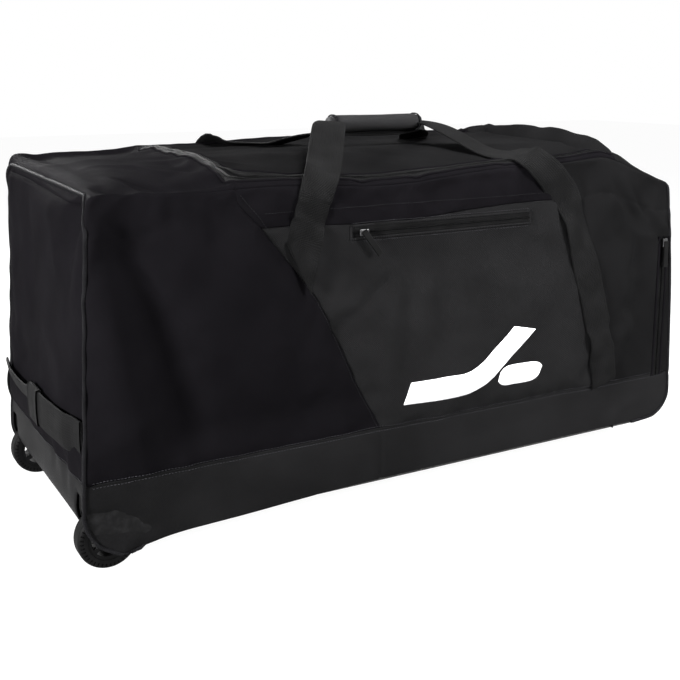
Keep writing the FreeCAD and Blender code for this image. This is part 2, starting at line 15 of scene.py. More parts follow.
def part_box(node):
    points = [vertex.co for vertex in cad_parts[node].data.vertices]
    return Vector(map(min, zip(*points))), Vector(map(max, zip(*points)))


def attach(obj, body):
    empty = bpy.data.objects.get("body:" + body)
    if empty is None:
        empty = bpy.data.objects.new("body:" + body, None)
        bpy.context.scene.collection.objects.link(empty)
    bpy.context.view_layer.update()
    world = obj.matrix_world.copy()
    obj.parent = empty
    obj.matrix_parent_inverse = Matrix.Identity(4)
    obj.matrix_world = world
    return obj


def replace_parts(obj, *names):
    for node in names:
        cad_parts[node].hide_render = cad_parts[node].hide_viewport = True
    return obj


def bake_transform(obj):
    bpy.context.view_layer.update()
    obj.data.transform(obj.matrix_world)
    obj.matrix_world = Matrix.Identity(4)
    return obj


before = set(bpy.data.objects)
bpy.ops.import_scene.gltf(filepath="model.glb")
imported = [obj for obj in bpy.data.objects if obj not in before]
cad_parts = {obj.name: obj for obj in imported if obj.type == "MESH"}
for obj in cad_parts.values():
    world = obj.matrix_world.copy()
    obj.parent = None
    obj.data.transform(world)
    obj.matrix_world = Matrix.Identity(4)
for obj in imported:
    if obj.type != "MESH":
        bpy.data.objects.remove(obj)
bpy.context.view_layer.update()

MM = 0.001
UP = Vector((0, 0, 1))


def in_mm(node):
    """Low and high corner of a CAD node, in millimetres."""
    low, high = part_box(node)
    return low / MM, high / MM


# ---- sizes, in millimetres, from the frame's own boxes -------------------------------
BOOT_LOW, BOOT_HIGH = in_mm("boot_back")
LID_LOW, LID_HIGH = in_mm("lid_panel")
HOUSING_LOW, HOUSING_HIGH = in_mm("wheel_housing_back")
GRIP_LOW, GRIP_HIGH = in_mm("grip_wrap")
POCKET_ZIP_LOW, POCKET_ZIP_HIGH = in_mm("pocket_zip_tape")
END_ZIP_LOW, END_ZIP_HIGH = in_mm("end_zip_tape")
SLIDER_LOW, SLIDER_HIGH = in_mm("main_zip_slider")
HALF_L = BOOT_HIGH.x
HALF_W = BOOT_HIGH.y
TOP_Z = in_mm("back_panel")[1].z
BASE_Z = BOOT_LOW.z
SEAM_Z = BOOT_HIGH.z
YOKE_Z = in_mm("front_yoke")[0].z
LID_HALF_Y = LID_HIGH.y
ZIP_LANE_X = (SLIDER_LOW.x + SLIDER_HIGH.x) / 2
ZIP_STOP_Y = in_mm("main_zip_tape")[1].y
FRONT_GRIP_Z = (GRIP_LOW.z + GRIP_HIGH.z) / 2
BACK_GRIP_Z = in_mm("back_strap")[0].z + 8.5

# The outline's corners, the wheel wells and the slanting seam are the CAD source's own.
CORNER_R = 50.0
TOP_CORNER_R = 20.0
TOP_LEAN = 20.0
WELL_END_X = -425.0
SLANT_SEAM = ((480.0, -296.0), (438.0, -261.0), (320.0, -181.0), (198.0, -124.0), (118.0, -76.0))  # z, x

STRAP_W = 50.0
STRAP_MID_X = 33.0
STRAP_HALF_TOP = 207.0   # from there to a leg's middle at the top edge
STRAP_SLOPE = 0.297      # outward run of a leg for each millimetre down
VEER = 50.0              # the front far-end leg turns in this much over the pocket
LEFT_LEG_END_Z = 366.0   # where the front strap's left leg meets the slanting seam

CELL = 13.0              # shell mesh before subdivision
SEAM_CELL = 5.0          # narrow cells along a seam or an edge
CLOTH_FRAMES = 16
CLOTH_CAP = 11.0         # no point of the cloth moves further than this


def ease(low, high, value):
    """Smooth step from 0 at low to 1 at high; low may be the larger."""
    t = np.clip((value - low) / (high - low), 0.0, 1.0)
    return t * t * (3 - 2 * t)


def bump(centre, width, value):
    """1 at the centre, falling off smoothly over about the width."""
    return np.exp(-(((value - centre) / width) ** 2))


# ---- the shell's grid ----------------------------------------------------------------
def ticks(marks, cell):
    """Marks with every interval between them divided evenly into cells."""
    values = []
    for low, high in zip(marks, marks[1:]):
        count = max(1, round((high - low) / cell))
        values += [low + (high - low) * i / count for i in range(count)]
    return np.array(values + [marks[-1]])


def edge_x(z):
    """Half length of the outline at height z."""
    low_z = BASE_Z + CORNER_R
    high_z = TOP_Z - TOP_CORNER_R
    lean = TOP_LEAN * np.clip((z - low_z) / (high_z - low_z), 0, 1)
    low_drop = CORNER_R - np.sqrt(CORNER_R**2 - np.clip(low_z - z, 0, CORNER_R) ** 2)
    high_drop = TOP_CORNER_R - np.sqrt(TOP_CORNER_R**2 - np.clip(z - high_z, 0, TOP_CORNER_R) ** 2)
    return HALF_L - lean - low_drop - high_drop


def slant_x(z):
    """The slanting seam of the front wall at height z."""
    heights = [p[0] for p in reversed(SLANT_SEAM)]
    places = [p[1] for p in reversed(SLANT_SEAM)]
    return np.interp(z, heights, places)


def leg_x(side, z):
    """Centre line of a strap leg; side is -1 towards the wheels."""
    return STRAP_MID_X + side * (STRAP_HALF_TOP + STRAP_SLOPE * (TOP_Z - z))


def fork_x(z):
    """A grid line from the lid's far corner down the front wall."""
    return LID_HIGH.x + 0.17 * (TOP_Z - z)


def row_heights():
    """Heights of the wall's grid rows: the round corners, then even cells between the seams."""
    turns = [math.radians(a) for a in (0, 22, 38, 52, 66, 78, 90)]
    low = [BASE_Z + CORNER_R * (1 - math.cos(t)) for t in turns]
    high = [TOP_Z - TOP_CORNER_R * (1 - math.cos(t)) for t in reversed(turns[::2])]
    seams = [SEAM_Z - SEAM_CELL, SEAM_Z, SEAM_Z + SEAM_CELL, YOKE_Z - SEAM_CELL, YOKE_Z, YOKE_Z + SEAM_CELL]
    middle = ticks(low[-1:] + seams + high[:1], CELL)
    return np.concatenate([low[:-1], middle, high[1:]])


ROWS = row_heights()
LINES = [lambda z: -edge_x(z), lambda z: -edge_x(z) + SEAM_CELL,
         lambda z: slant_x(z) - SEAM_CELL, slant_x, lambda z: slant_x(z) + SEAM_CELL,
         lambda z: leg_x(1, z), fork_x, lambda z: edge_x(z) - SEAM_CELL, edge_x]
BLOCKS = (1, 26, 1, 1, 40, 8, 9, 1)      # columns of cells between one line and the next
SLANT_COLUMN = sum(BLOCKS[:3])
STRAP_COLUMN = sum(BLOCKS[:5])
ACROSS = ticks([-HALF_W, -HALF_W + SEAM_CELL + 1, -LID_HALF_Y, -HOUSING_LOW.y, HOUSING_LOW.y, LID_HALF_Y,
                HALF_W - SEAM_CELL - 1, HALF_W], CELL)


def wall_points():
    """X and Z of every grid point of the front or back wall, rows by columns."""
    columns = []
    for low, high, count in zip(LINES, LINES[1:], BLOCKS):
        columns += [low(ROWS) + (high(ROWS) - low(ROWS)) * i / count for i in range(count)]
    columns.append(LINES[-1](ROWS))
    x = np.stack(columns, axis=1)
    return np.stack([x, np.repeat(ROWS[:, None], x.shape[1], axis=1)], axis=2)


WALL = wall_points()
N_ROWS, N_COLUMNS = WALL.shape[:2]


def wall_loop():
    """(row, column) round the edge of a wall, from the bottom left, first along the bottom."""
    last_row, last_column = N_ROWS - 1, N_COLUMNS - 1
    loop = [(0, i) for i in range(last_column)]
    loop += [(j, last_column) for j in range(last_row)]
    loop += [(last_row, i) for i in range(last_column, 0, -1)]
    loop += [(j, 0) for j in range(last_row, 0, -1)]
    return loop


LOOP = wall_loop()


def wall_region(row, column):
    """The sewn panel of a front cell."""
    middle_z = (ROWS[row] + ROWS[row + 1]) / 2
    if middle_z < SEAM_Z:
        return "boot_front"
    if column < SLANT_COLUMN:
        return "front_left_panel"
    if column >= STRAP_COLUMN:
        return "front_right_panel"
    return "pocket_skin" if middle_z < YOKE_Z else "front_yoke"


def ring_region(x, y, z):
    """The sewn panel that a point of the ring round the bag belongs to; None in a wheel well."""
    if z < SEAM_Z:
        if x < WELL_END_X:
            in_well = HOUSING_LOW.y < abs(y) < HOUSING_HIGH.y - SEAM_CELL and z < HOUSING_HIGH.z
            return None if in_well else "boot_wheel_end"
        return "boot_far_end" if x > HALF_L - CORNER_R else "boot_floor"
    if z < TOP_Z - TOP_CORNER_R:
        return "wheel_end_panel" if x < 0 else "far_end_panel"
    if x < LID_LOW.x:
        return "top_left_panel"
    if x > LID_HIGH.x:
        return "top_right_panel"
    if abs(y) < LID_HALF_Y:
        return "lid_panel"
    return "top_front_band" if y < 0 else "top_back_band"


REGIONS = ["front_left_panel", "front_yoke", "front_right_panel", "pocket_skin", "boot_front", "back_panel",
           "boot_back", "boot_floor", "boot_wheel_end", "boot_far_end", "wheel_end_panel", "far_end_panel",
           "top_left_panel", "top_right_panel", "top_front_band", "top_back_band", "lid_panel"]


def shell_grid():
    """Points (mm), faces, each face's panel number and each face's UVs (metres along the cloth)."""
    points, faces, panels, uvs = [], [], [], []
    for y in (-HALF_W, HALF_W):
        points += [(x, y, z) for x, z in WALL.reshape(-1, 2)]
    offset = N_ROWS * N_COLUMNS
    for j in range(N_ROWS - 1):
        for i in range(N_COLUMNS - 1):
            corners = [(j, i), (j, i + 1), (j + 1, i + 1), (j + 1, i)]
            ids = [a * N_COLUMNS + b for a, b in corners]
            flat = [tuple(WALL[a, b] * MM) for a, b in corners]
            faces.append(ids)
            panels.append(REGIONS.index(wall_region(j, i)))
            uvs.append(flat)
            faces.append([offset + k for k in reversed(ids)])
            boot = (ROWS[j] + ROWS[j + 1]) / 2 < SEAM_Z
            panels.append(REGIONS.index("boot_back" if boot else "back_panel"))
            uvs.append(flat[::-1])
    loop_xz = np.array([WALL[j, i] for j, i in LOOP])
    run = np.linalg.norm(np.roll(loop_xz, -1, axis=0) - loop_xz, axis=1)
    reach = np.concatenate([[0], np.cumsum(run)]) * MM
    edge_ids = [j * N_COLUMNS + i for j, i in LOOP]
    rings = [edge_ids]
    for y in ACROSS[1:-1]:
        rings.append(list(range(len(points), len(points) + len(LOOP))))
        points += [(x, y, z) for x, z in loop_xz]
    rings.append([offset + k for k in edge_ids])
    for k in range(len(rings) - 1):
        for p in range(len(LOOP)):
            q = (p + 1) % len(LOOP)
            middle = (loop_xz[p] + loop_xz[q]) / 2
            region = ring_region(middle[0], (ACROSS[k] + ACROSS[k + 1]) / 2, middle[1])
            if region is None:
                continue
            faces.append([rings[k][p], rings[k + 1][p], rings[k + 1][q], rings[k][q]])
            panels.append(REGIONS.index(region))
            low_y, high_y = ACROSS[k] * MM, ACROSS[k + 1] * MM
            uvs.append([(reach[p], low_y), (reach[p], high_y), (reach[p + 1], high_y), (reach[p + 1], low_y)])
    return np.array(points), faces, panels, uvs


# ---- sag -----------------------------------------------------------------------------
def top_rise(x, y):
    """How far the stuffed top stands over its flat outline: least along its front rim."""
    front_rim = -9 + 6 * ease(240, 340, x) - 17 * bump(-70, 150, x) - 10 * bump(-350, 130, x)
    crest = 17 * ease(-520, -420, x) + 12 * ease(-420, -60, x) + 17 * bump(400, 60, x)
    crest = crest - 24 * ease(425, 475, x) - 3
    back_rim = 0.8 * crest - 2 - 5 * bump(-190, 90, x)
    front = np.clip((30 - y) / (30 + HALF_W), 0, 1) ** 3
    back = ease(70, HALF_W, y) ** 1.3
    return front_rim * front + back_rim * back + crest * (1 - front - back)


def zip_lanes(x, y, z):
    """1 on the fabric under a sliding zip or a turning pull, where the wall stays at its drawn place."""
    top = ease(40, 22, np.abs(x - ZIP_LANE_X)) * ease(-190, -172, y) * ease(HALF_W - 1, HALF_W - 8, y)
    top = top * ease(TOP_Z - 60, TOP_Z - 10, z)
    left, _, low = POCKET_ZIP_LOW.to_tuple(1)
    right, _, high = POCKET_ZIP_HIGH.to_tuple(1)
    pocket = ease(left - 73, left - 23, x) * ease(right + 44, right + 4, x)
    pocket = pocket * ease(low - 97, low - 25, z) * ease(high + 25, high + 11, z)
    left, _, low = END_ZIP_LOW.to_tuple(1)
    _, _, high = END_ZIP_HIGH.to_tuple(1)
    end = ease(left - 74, left - 39, x) * ease(low - 56, low - 26, z) * ease(high + 30, high + 10, z)
    front = ease(-HALF_W + 30, -HALF_W + 5, y)
    return np.maximum(top, np.maximum(pocket, end) * front)


# Ridges of the slack fabric, and grooves where the height is negative. Each runs along the front wall
# from x, z to x, z, and then has its half width and its height; all millimetres.
SLUMPS = (                # broad forms of the slack front-left panel
    (-492, 430, -440, 90, 34, 15.0), (-458, 480, -352, 110, 34, -24.0), (-320, 400, -270, 290, 80, 12.0),
    (-310, 115, -150, 140, 62, -22.0))
FRONT_FOLDS = (           # wide enough to go into the cloth run
    (-60, 392, -20, 300, 18, -4.0), (375, 300, 440, 120, 24, 4.0), (30, 350, 250, 300, 30, 3.5),
    (-40, 250, 300, 135, 36, -4.0), (60, 60, 260, 100, 18, -2.2), (380, 45, 470, 100, 14, 2.6),
    (-300, 100, -180, 52, 16, 2.4), (330, 440, 470, 330, 22, 3.0), (100, 230, 10, 110, 22, 3.0),
    (-150, 330, -70, 200, 20, 3.5), (200, 200, 330, 110, 22, 3.5), (-20, 420, 150, 330, 26, 3.0))
FRONT_CREASES = (         # narrow ones, added on the finer mesh after it
    (-149, 281, -64, 344, 8, -3.5), (-166, 290, -118, 402, 9, 2.5), (347, 481, 440, 411, 7, 3.5),
    (395, 468, 470, 380, 8, -3.0), (136, 475, 147, 450, 6, 2.4), (60, 474, 52, 448, 7, 2.0),
    (-150, 468, -130, 446, 7, 2.4), (-505, 78, -470, 74, 9, -5.0), (-470, 74, -446, 62, 9, -5.0),
    (-500, 60, -470, 62, 9, -5.0), (-470, 62, -425, 48, 9, -5.0), (-452, 46, -462, 29, 10, 4.0),
    (-420, 440, -380, 470, 9, -3.0), (-490, 470, -400, 380, 8, 2.4), (-430, 410, -360, 290, 7, -2.2),
    (-470, 190, -455, 105, 7, 2.2), (-380, 150, -372, 104, 6, 1.8), (-130, 402, -112, 372, 6, -2.6),
    (215, 405, 200, 370, 6, 2.2), (180, 400, 160, 350, 7, 1.8), (350, 470, 342, 400, 8, 2.0),
    (430, 450, 480, 400, 7, 2.6), (460, 400, 480, 300, 8, -2.2), (372, 440, 392, 330, 9, 1.8),
    (-30, 130, 40, 175, 9, 2.0), (320, 230, 290, 140, 10, 2.2))
TOP_FOLDS = (             # the same on the top, along x and y
    (-360, -20, -250, -60, 12, 3.5), (-470, 40, -300, 10, 20, 4.0), (-240, -40, -60, -90, 22, 3.5),
    (-250, 90, -60, 60, 26, -3.5), (140, -60, 320, -110, 24, 4.0), (180, 60, 330, 90, 24, 4.0),
    (395, -60, 470, -120, 14, 4.0), (400, 60, 470, 20, 16, -3.5), (-60, 110, 120, 140, 20, -3.0))
TOP_CREASES = (           # and the top's narrow ones
    (-470, -150, -440, -196, 8, -3.5), (-445, -120, -420, -196, 8, 3.4), (-425, -130, -385, -190, 7, -3.0),
    (-400, -60, -360, -110, 7, 3.0), (-340, -90, -300, -140, 9, -2.6), (-440, -30, -380, -70, 7, 2.4),
    (-330, -40, -240, -100, 8, 2.4), (-380, 60, -300, 20, 9, -2.2), (-150, -120, -60, -100, 9, 2.0),
    (230, -130, 330, -110, 8, 2.2), (420, -150, 450, -60, 8, 2.4))
END_FOLDS = (             # the same on the wheel end, along y and z
    (-165, 470, -150, 330, 14, -4.0), (-60, 480, -95, 380, 20, 3.5), (60, 470, 40, 300, 24, -3.5),
    (150, 480, 130, 260, 16, 3.0), (-180, 140, -165, 84, 7, -3.0), (-150, 146, -140, 96, 6, 2.6),
    (-118, 146, -120, 90, 7, -3.0), (-85, 146, -96, 100, 6, 2.6), (-52, 146, -62, 98, 7, -2.8),
    (-30, 300, -150, 215, 22, 3.5))
BACK_FOLDS = FRONT_FOLDS[:6]
FAR_FOLDS = END_FOLDS[:4]


def folds(x, z, creases):
    """The lift of a table's ridges and grooves, which fade towards their ends."""
    lift = np.zeros_like(x)
    for x0, z0, x1, z1, width, height in creases:
        along = np.array([x1 - x0, z1 - z0])
        length = np.linalg.norm(along)
        along = along / length
        t = (x - x0) * along[0] + (z - z0) * along[1]
        side = (x - x0) * along[1] - (z - z0) * along[0]
        fade = ease(-0.15 * length - width, 0.2 * length, t) * ease(1.15 * length + width, 0.8 * length, t)
        lift += height * np.exp(-((side / width) ** 2)) * fade
    return lift


def far_shoulder(x, z):
    """1 at the top of the far end, where the bag is least full."""
    return ease(325, 478, x) * ease(240, TOP_Z, z)


def top_push(x, y, z, lanes):
    """How far points rise: the stuffed top, less at the far shoulder and not where a zip slides."""
    rise = top_rise(x, y) * ease(TOP_Z - 190, TOP_Z - 8, z)
    rise = rise - far_shoulder(x, z) * (38 * ease(60, -HALF_W, y) + 4)
    rise = rise + folds(x, y, TOP_FOLDS) * ease(TOP_Z - 20, TOP_Z - 2, z)
    return rise * (1 - lanes * ease(TOP_Z - 60, TOP_Z - 10, z))


def wall_push(x, y, z, lanes, height):
    """How far points of the front and back wall move along Y: swollen low down, creased, calm at a zip."""
    to_front = ease(-HALF_W + 40, -HALF_W, y)
    to_back = ease(HALF_W - 40, HALF_W, y)
    span = np.sin(math.pi * np.clip((x + HALF_L) / (2 * HALF_L), 0, 1)) ** 0.6
    swell = (6.5 * np.sin(math.pi * height) + 2.5 * np.sin(2 * math.pi * height)) * span
    crease = folds(x, z, FRONT_FOLDS)
    front = -swell * (1 - lanes) - crease * (1 - 0.75 * lanes) + 3 * ease(YOKE_Z - 10, TOP_Z, z)
    back = swell - 3 * ease(YOKE_Z, TOP_Z, z) + folds(-x, z, BACK_FOLDS)
    return front * to_front + back * to_back


def end_push(x, y, z, height):
    """How far points of the two ends move along X, the whole wheel end outwards."""
    to_wheels = ease(-edge_x(z) + 25, -edge_x(z), x)
    to_far = ease(edge_x(z) - 25, edge_x(z), x)
    across = np.clip((y + HALF_W) / (2 * HALF_W), 0, 1)
    arch = np.sin(math.pi * height) * np.sin(math.pi * across) ** 0.7
    wheels = 5 * arch - folds(y, z, END_FOLDS) * ease(80, 100, z)
    far = 7 * arch + folds(y, z, FAR_FOLDS) - 5 * far_shoulder(x, z)
    return wheels * to_wheels + far * to_far - 5.5 * ease(HALF_L - 60, HALF_L - 20, -x)


def settle(rest):
    """Where stuffing and gravity take points of the plain outline."""
    x, y, z = rest.T
    height = np.clip((z - SEAM_Z) / (TOP_Z - SEAM_Z), 0, 1)
    lanes = zip_lanes(x, y, z)
    inboard = ease(HALF_L - 25, HALF_L - 45, np.abs(x))
    rim = bump(0, 2.5, np.hypot(TOP_Z - z, HALF_W - np.abs(y))) * inboard
    roll = bump(SEAM_CELL + 2, 5, HALF_W - np.abs(y)) * (z > TOP_Z - 1) * inboard
    corner = ease(452, 486, -x) * ease(TOP_Z - 34, TOP_Z - 14, z) * ease(-170, 120, y)
    hem = ease(SEAM_Z, BASE_Z, z) * ease(-120, -HALF_W, y)
    moved = rest.copy()
    # The rim is drawn in and the fabric beside it rolls up; the corner over the wheels stands out and
    # up; the boot's front hem lifts between the wheels and the far end.
    moved[:, 0] += end_push(x, y, z, height) - 3 * corner
    moved[:, 1] += wall_push(x, y, z, lanes, height) - np.sign(y) * 2.5 * rim
    moved[:, 2] += top_push(x, y, z, lanes) - 2.0 * rim + 3.5 * roll
    moved[:, 2] += 13 * corner + hem * (11 * ease(-430, -60, x) - 9 * bump(-458, 42, x))
    return moved


# ---- mesh helpers --------------------------------------------------------------------
def mesh_object(name, points, faces, uvs=None, panels=None):
    """A smooth-shaded mesh; points in millimetres, UVs one list of corners for each face."""
    mesh = bpy.data.meshes.new(name)
    mesh.from_pydata([tuple(float(c) * MM for c in p) for p in points], [], faces)
    if uvs is not None:
        layer = mesh.uv_layers.new(name="cloth")
        layer.data.foreach_set("uv", np.array([c for face in uvs for c in face], np.float32).ravel())
    if panels is not None:
        mesh.polygons.foreach_set("material_index", np.array(panels, np.int32))
    mesh.polygons.foreach_set("use_smooth", np.ones(len(mesh.polygons), bool))
    mesh.update()
    shown = bpy.data.objects.new(name, mesh)
    bpy.context.scene.collection.objects.link(shown)
    return shown


def read_rows(data, key):
    """Mesh data of three numbers each, as rows."""
    found = np.zeros(len(data) * 3, np.float32)
    data.foreach_get(key, found)
    return found.reshape(-1, 3).astype(float)


def write_points(mesh, points):
    """Moves a mesh's vertices to points in millimetres."""
    mesh.vertices.foreach_set("co", (points * MM).astype(np.float32).ravel())
    mesh.update()


def modified_mesh(source):
    """The object's mesh with its modifiers applied, as a new mesh."""
    graph = bpy.context.evaluated_depsgraph_get()
    return bpy.data.meshes.new_from_object(source.evaluated_get(graph), depsgraph=graph)


def swept(name, path, sides, ups, sections, closed=False):
    """A tube along a path; each path point has its section, an outline of (across, up) in millimetres."""
    count = len(path)
    width = len(sections[0])
    points = []
    for place, side, up, section in zip(path, sides, ups, sections):
        points += [place + side * across + up * rise for across, rise in section]
    runs = [0.0]
    for here, after in zip(path, path[1:] + path[:1]):
        runs.append(runs[-1] + (after - here).length)
    faces, uvs = [], []
    for k in range(count if closed else count - 1):
        this, following = k * width, (k + 1) % count * width
        for i in range(width):
            j = (i + 1) % width
            faces.append([this + i, this + j, following + j, following + i])
            v0, v1 = sections[k][i][0] * MM, sections[k][j][0] * MM
            u0, u1 = runs[k] * MM, runs[k + 1] * MM
            uvs.append([(u0, v0), (u0, v1), (u1, v1), (u1, v0)])
    if not closed:
        for ring in (0, count - 1):
            cap = [ring * width + i for i in range(width)]
            faces.append(cap if ring == 0 else cap[::-1])
            uvs.append([(runs[ring] * MM, sections[ring][i][0] * MM) for i in range(width)])
    return mesh_object(name, points, faces, uvs)


def smoothed(points, times):
    """A polyline with its corners cut and rounded (Chaikin)."""
    for _ in range(times):
        rounded = [points[0]]
        for a, b in zip(points, points[1:]):
            rounded += [a.lerp(b, 0.25), a.lerp(b, 0.75)]
        points = rounded + [points[-1]]
    return points


def spaced(points, step):
    """The same line as evenly spaced points."""
    lengths = [0.0]
    for a, b in zip(points, points[1:]):
        lengths.append(lengths[-1] + (b - a).length)
    places = np.linspace(0, lengths[-1], max(2, round(lengths[-1] / step) + 1))
    columns = [np.interp(places, lengths, [p[axis] for p in points]) for axis in range(3)]
    return [Vector(p) for p in zip(*columns)]


def tangents(path, closed=False):
    """Unit direction of a line at each of its points."""
    count = len(path)
    found = []
    for k in range(count):
        before = path[k - 1] if k or closed else path[0]
        after = path[(k + 1) % count] if k < count - 1 or closed else path[-1]
        found.append((after - before).normalized())
    return found


def tube(name, path, radius, closed=False, facets=8, up=UP):
    """A round welt or cord along a path."""
    sides, ups = [], []
    for tangent in tangents(path, closed):
        side = tangent.cross(up)
        if side.length < 0.05:
            side = tangent.cross(Vector((0, 1, 0)))
        side.normalize()
        sides.append(side)
        ups.append(side.cross(tangent))
    turn = [2 * math.pi * i / facets for i in range(facets)]
    section = [(radius * math.cos(t), radius * math.sin(t)) for t in turn]
    return swept(name, path, sides, ups, [section] * len(path), closed)


BAND_STATIONS = (1.0, 0.93, 0.5, 0.0, -0.5, -0.93, -1.0)    # across a band, in half widths


def band(name, path, normals, width, thickness, crown=0.0):
    """Flat webbing along a path; width is one value or one for each path point."""
    widths = [width] * len(path) if isinstance(width, (int, float)) else width
    sides = [t.cross(n).normalized() for t, n in zip(tangents(path), normals)]
    ups = [s.cross(t).normalized() for s, t in zip(sides, tangents(path))]
    sections = []
    for w in widths:
        half = w / 2
        upper = [(half * a, thickness / 2 + crown * (1 - a * a)) for a in BAND_STATIONS]
        upper[0] = (half, thickness / 4)
        upper[-1] = (-half, thickness / 4)
        lower = [(a, b - thickness if abs(a) < half else -thickness / 4) for a, b in reversed(upper)]
        sections.append(upper + lower)
    return swept(name, path, sides, ups, sections)


# ---- the shell: cloth, then panels -----------------------------------------------------
CLOTH = {"quality": 4, "mass": 0.35, "tension_stiffness": 18, "compression_stiffness": 14,
         "shear_stiffness": 6, "bending_stiffness": 0.35, "use_pressure": True,
         "uniform_pressure_force": 1.2, "shrink_min": -0.035, "shrink_max": -0.015}


def held_share(rest):
    """1 where the cloth is held: the boot, the seams, the zips and the sliding lanes."""
    x, y, z = rest.T
    share = ease(SEAM_Z + 8, SEAM_Z, z)
    wall_edge = np.minimum(np.abs(np.abs(x) - edge_x(z)), TOP_Z - z)
    on_wall = np.abs(np.abs(y) - HALF_W) < 1
    share = np.maximum(share, on_wall * ease(SEAM_CELL, 0.5, wall_edge))
    on_top = z > TOP_Z - 1
    lid_edge = np.minimum(np.abs(x - LID_LOW.x), np.abs(x - LID_HIGH.x)) + 1e3 * (np.abs(y) > LID_HALF_Y)
    lid_side = np.abs(np.abs(y) - LID_HALF_Y) + 1e3 * ((x < LID_LOW.x - 1) | (x > LID_HIGH.x + 1))
    share = np.maximum(share, on_top * (np.minimum(lid_edge, lid_side) < 3) * 0.9)
    share = np.maximum(share, (on_wall & (y < 0)) * (np.abs(x - slant_x(z)) < 2) * 0.7)
    share = np.maximum(share, (on_wall & (y < 0) & (x > slant_x(z))) * (np.abs(z - YOKE_Z) < 2) * 0.8)
    return np.clip(np.maximum(share, zip_lanes(x, y, z)), 0, 1)


def draped(points, faces, rest):
    """A short cloth run on the sagged shell: slack fabric, light pressure and a little gravity."""
    sagged = settle(points)
    cloth = mesh_object("cloth_run", sagged, faces)
    group = cloth.vertex_groups.new(name="held")
    for index, share in enumerate(held_share(rest)):
        if share > 0.01:
            group.add([index], float(share), "REPLACE")
    modifier = cloth.modifiers.new("cloth", "CLOTH")
    for key, value in CLOTH.items():
        setattr(modifier.settings, key, value)
    modifier.settings.vertex_group_mass = "held"
    modifier.settings.effector_weights.gravity = 0.25
    modifier.collision_settings.use_collision = False
    scene = bpy.context.scene
    modifier.point_cache.frame_start = 1
    modifier.point_cache.frame_end = CLOTH_FRAMES
    for number in range(1, CLOTH_FRAMES + 1):
        scene.frame_set(number)
    moved = read_rows(modified_mesh(cloth).vertices, "co") / MM - sagged
    scene.frame_set(1)
    bpy.data.objects.remove(cloth)
    distance = np.linalg.norm(moved, axis=1)
    capped = CLOTH_CAP * np.tanh(distance / CLOTH_CAP) / np.maximum(distance, 1e-6)
    return sagged + moved * capped[:, None]


def slumped(points, rest):
    """Broad forms that the cloth run would pull flat, added where the front-left panel is slack."""
    x, y, z = rest.T
    slack = (y < 1 - HALF_W) * ease(SEAM_Z + 2, SEAM_Z + 70, z) * ease(TOP_Z - 12, TOP_Z - 70, z)
    slack = slack * ease(-edge_x(z), 30 - edge_x(z), x) * ease(slant_x(z), slant_x(z) - 50, x)
    moved = points.copy()
    moved[:, 1] -= folds(x, z, SLUMPS) * slack
    return moved


def crumpled(points, normals, rest):
    """Small creases of a stuffed fabric, quieter on the coated boot and under the zips."""
    x, y, z = rest.T
    calm = np.clip(zip_lanes(x, y, z) + 0.72 * ease(SEAM_Z + 6, SEAM_Z - 6, z), 0, 0.93)
    seam = np.minimum(np.abs(z - SEAM_Z), np.where((y < 0) & (x > slant_x(z)), np.abs(z - YOKE_Z), 99))
    seam = np.minimum(seam, np.where(y < 1 - HALF_W, np.abs(x - slant_x(z)), 99))
    lift = np.zeros(len(points))
    for index in range(len(points)):
        place = Vector(points[index])
        broad = noise.noise(place / 95.0)
        streak = noise.noise(Vector((place.x / 60.0, place.y / 60.0, place.z / 26.0)) + Vector((7, 3, 1)))
        fine = noise.noise(place / 17.0)
        lift[index] = 1.5 * broad + 1.1 * streak * abs(streak) * 2 + 0.45 * fine
    lift += folds(x, z, FRONT_CREASES) * (y < 1 - HALF_W) / np.maximum(1 - calm, 0.3)
    lift += folds(x, y, TOP_CREASES) * (z > TOP_Z - 1)
    lift = lift * (1 - calm) - 1.3 * np.exp(-((seam / 3.0) ** 2))
    return points + normals * lift[:, None]


def make_shell():
    """The whole shell as one fine mesh, and the coarse loops that its welts follow."""
    rest, faces, panels, uvs = shell_grid()
    coarse = slumped(draped(rest, faces, rest), rest)
    whole = mesh_object("shell", coarse, faces, uvs, panels)
    marks = whole.data.attributes.new("rest", "FLOAT_VECTOR", "POINT")
    marks.data.foreach_set("vector", rest.astype(np.float32).ravel())
    subdivision = whole.modifiers.new("finer", "SUBSURF")
    subdivision.levels = subdivision.render_levels = 1
    subdivision.boundary_smooth = "PRESERVE_CORNERS"
    fine = modified_mesh(whole)
    bpy.data.objects.remove(whole)
    points = read_rows(fine.vertices, "co") / MM
    normals = read_rows(fine.vertex_normals, "vector")
    write_points(fine, crumpled(points, normals, read_rows(fine.attributes["rest"].data, "vector")))
    wall_size = N_ROWS * N_COLUMNS
    loops = [[Vector(coarse[side * wall_size + j * N_COLUMNS + i]) for j, i in LOOP] for side in (0, 1)]
    return fine, loops


SHELL, WELT_LOOPS = make_shell()
SURFACE = BVHTree.FromPolygons([v.co / MM for v in SHELL.vertices],
                               [list(p.vertices) for p in SHELL.polygons])


def cut_panel(region):
    """One sewn panel of the shell as its own object, with the fabric's thickness."""
    wanted = REGIONS.index(region)
    used, points, faces, uvs = {}, [], [], []
    layer = SHELL.uv_layers["cloth"].data
    for polygon in SHELL.polygons:
        if polygon.material_index != wanted:
            continue
        face = []
        for vertex in polygon.vertices:
            if vertex not in used:
                used[vertex] = len(points)
                points.append(SHELL.vertices[vertex].co / MM)
            face.append(used[vertex])
        faces.append(face)
        uvs.append([tuple(layer[i].uv) for i in polygon.loop_indices])
    panel = mesh_object("soft_" + region, points, faces, uvs)
    thickness = panel.modifiers.new("fabric", "SOLIDIFY")
    thickness.thickness = 2.4 * MM
    thickness.offset = -1
    return panel


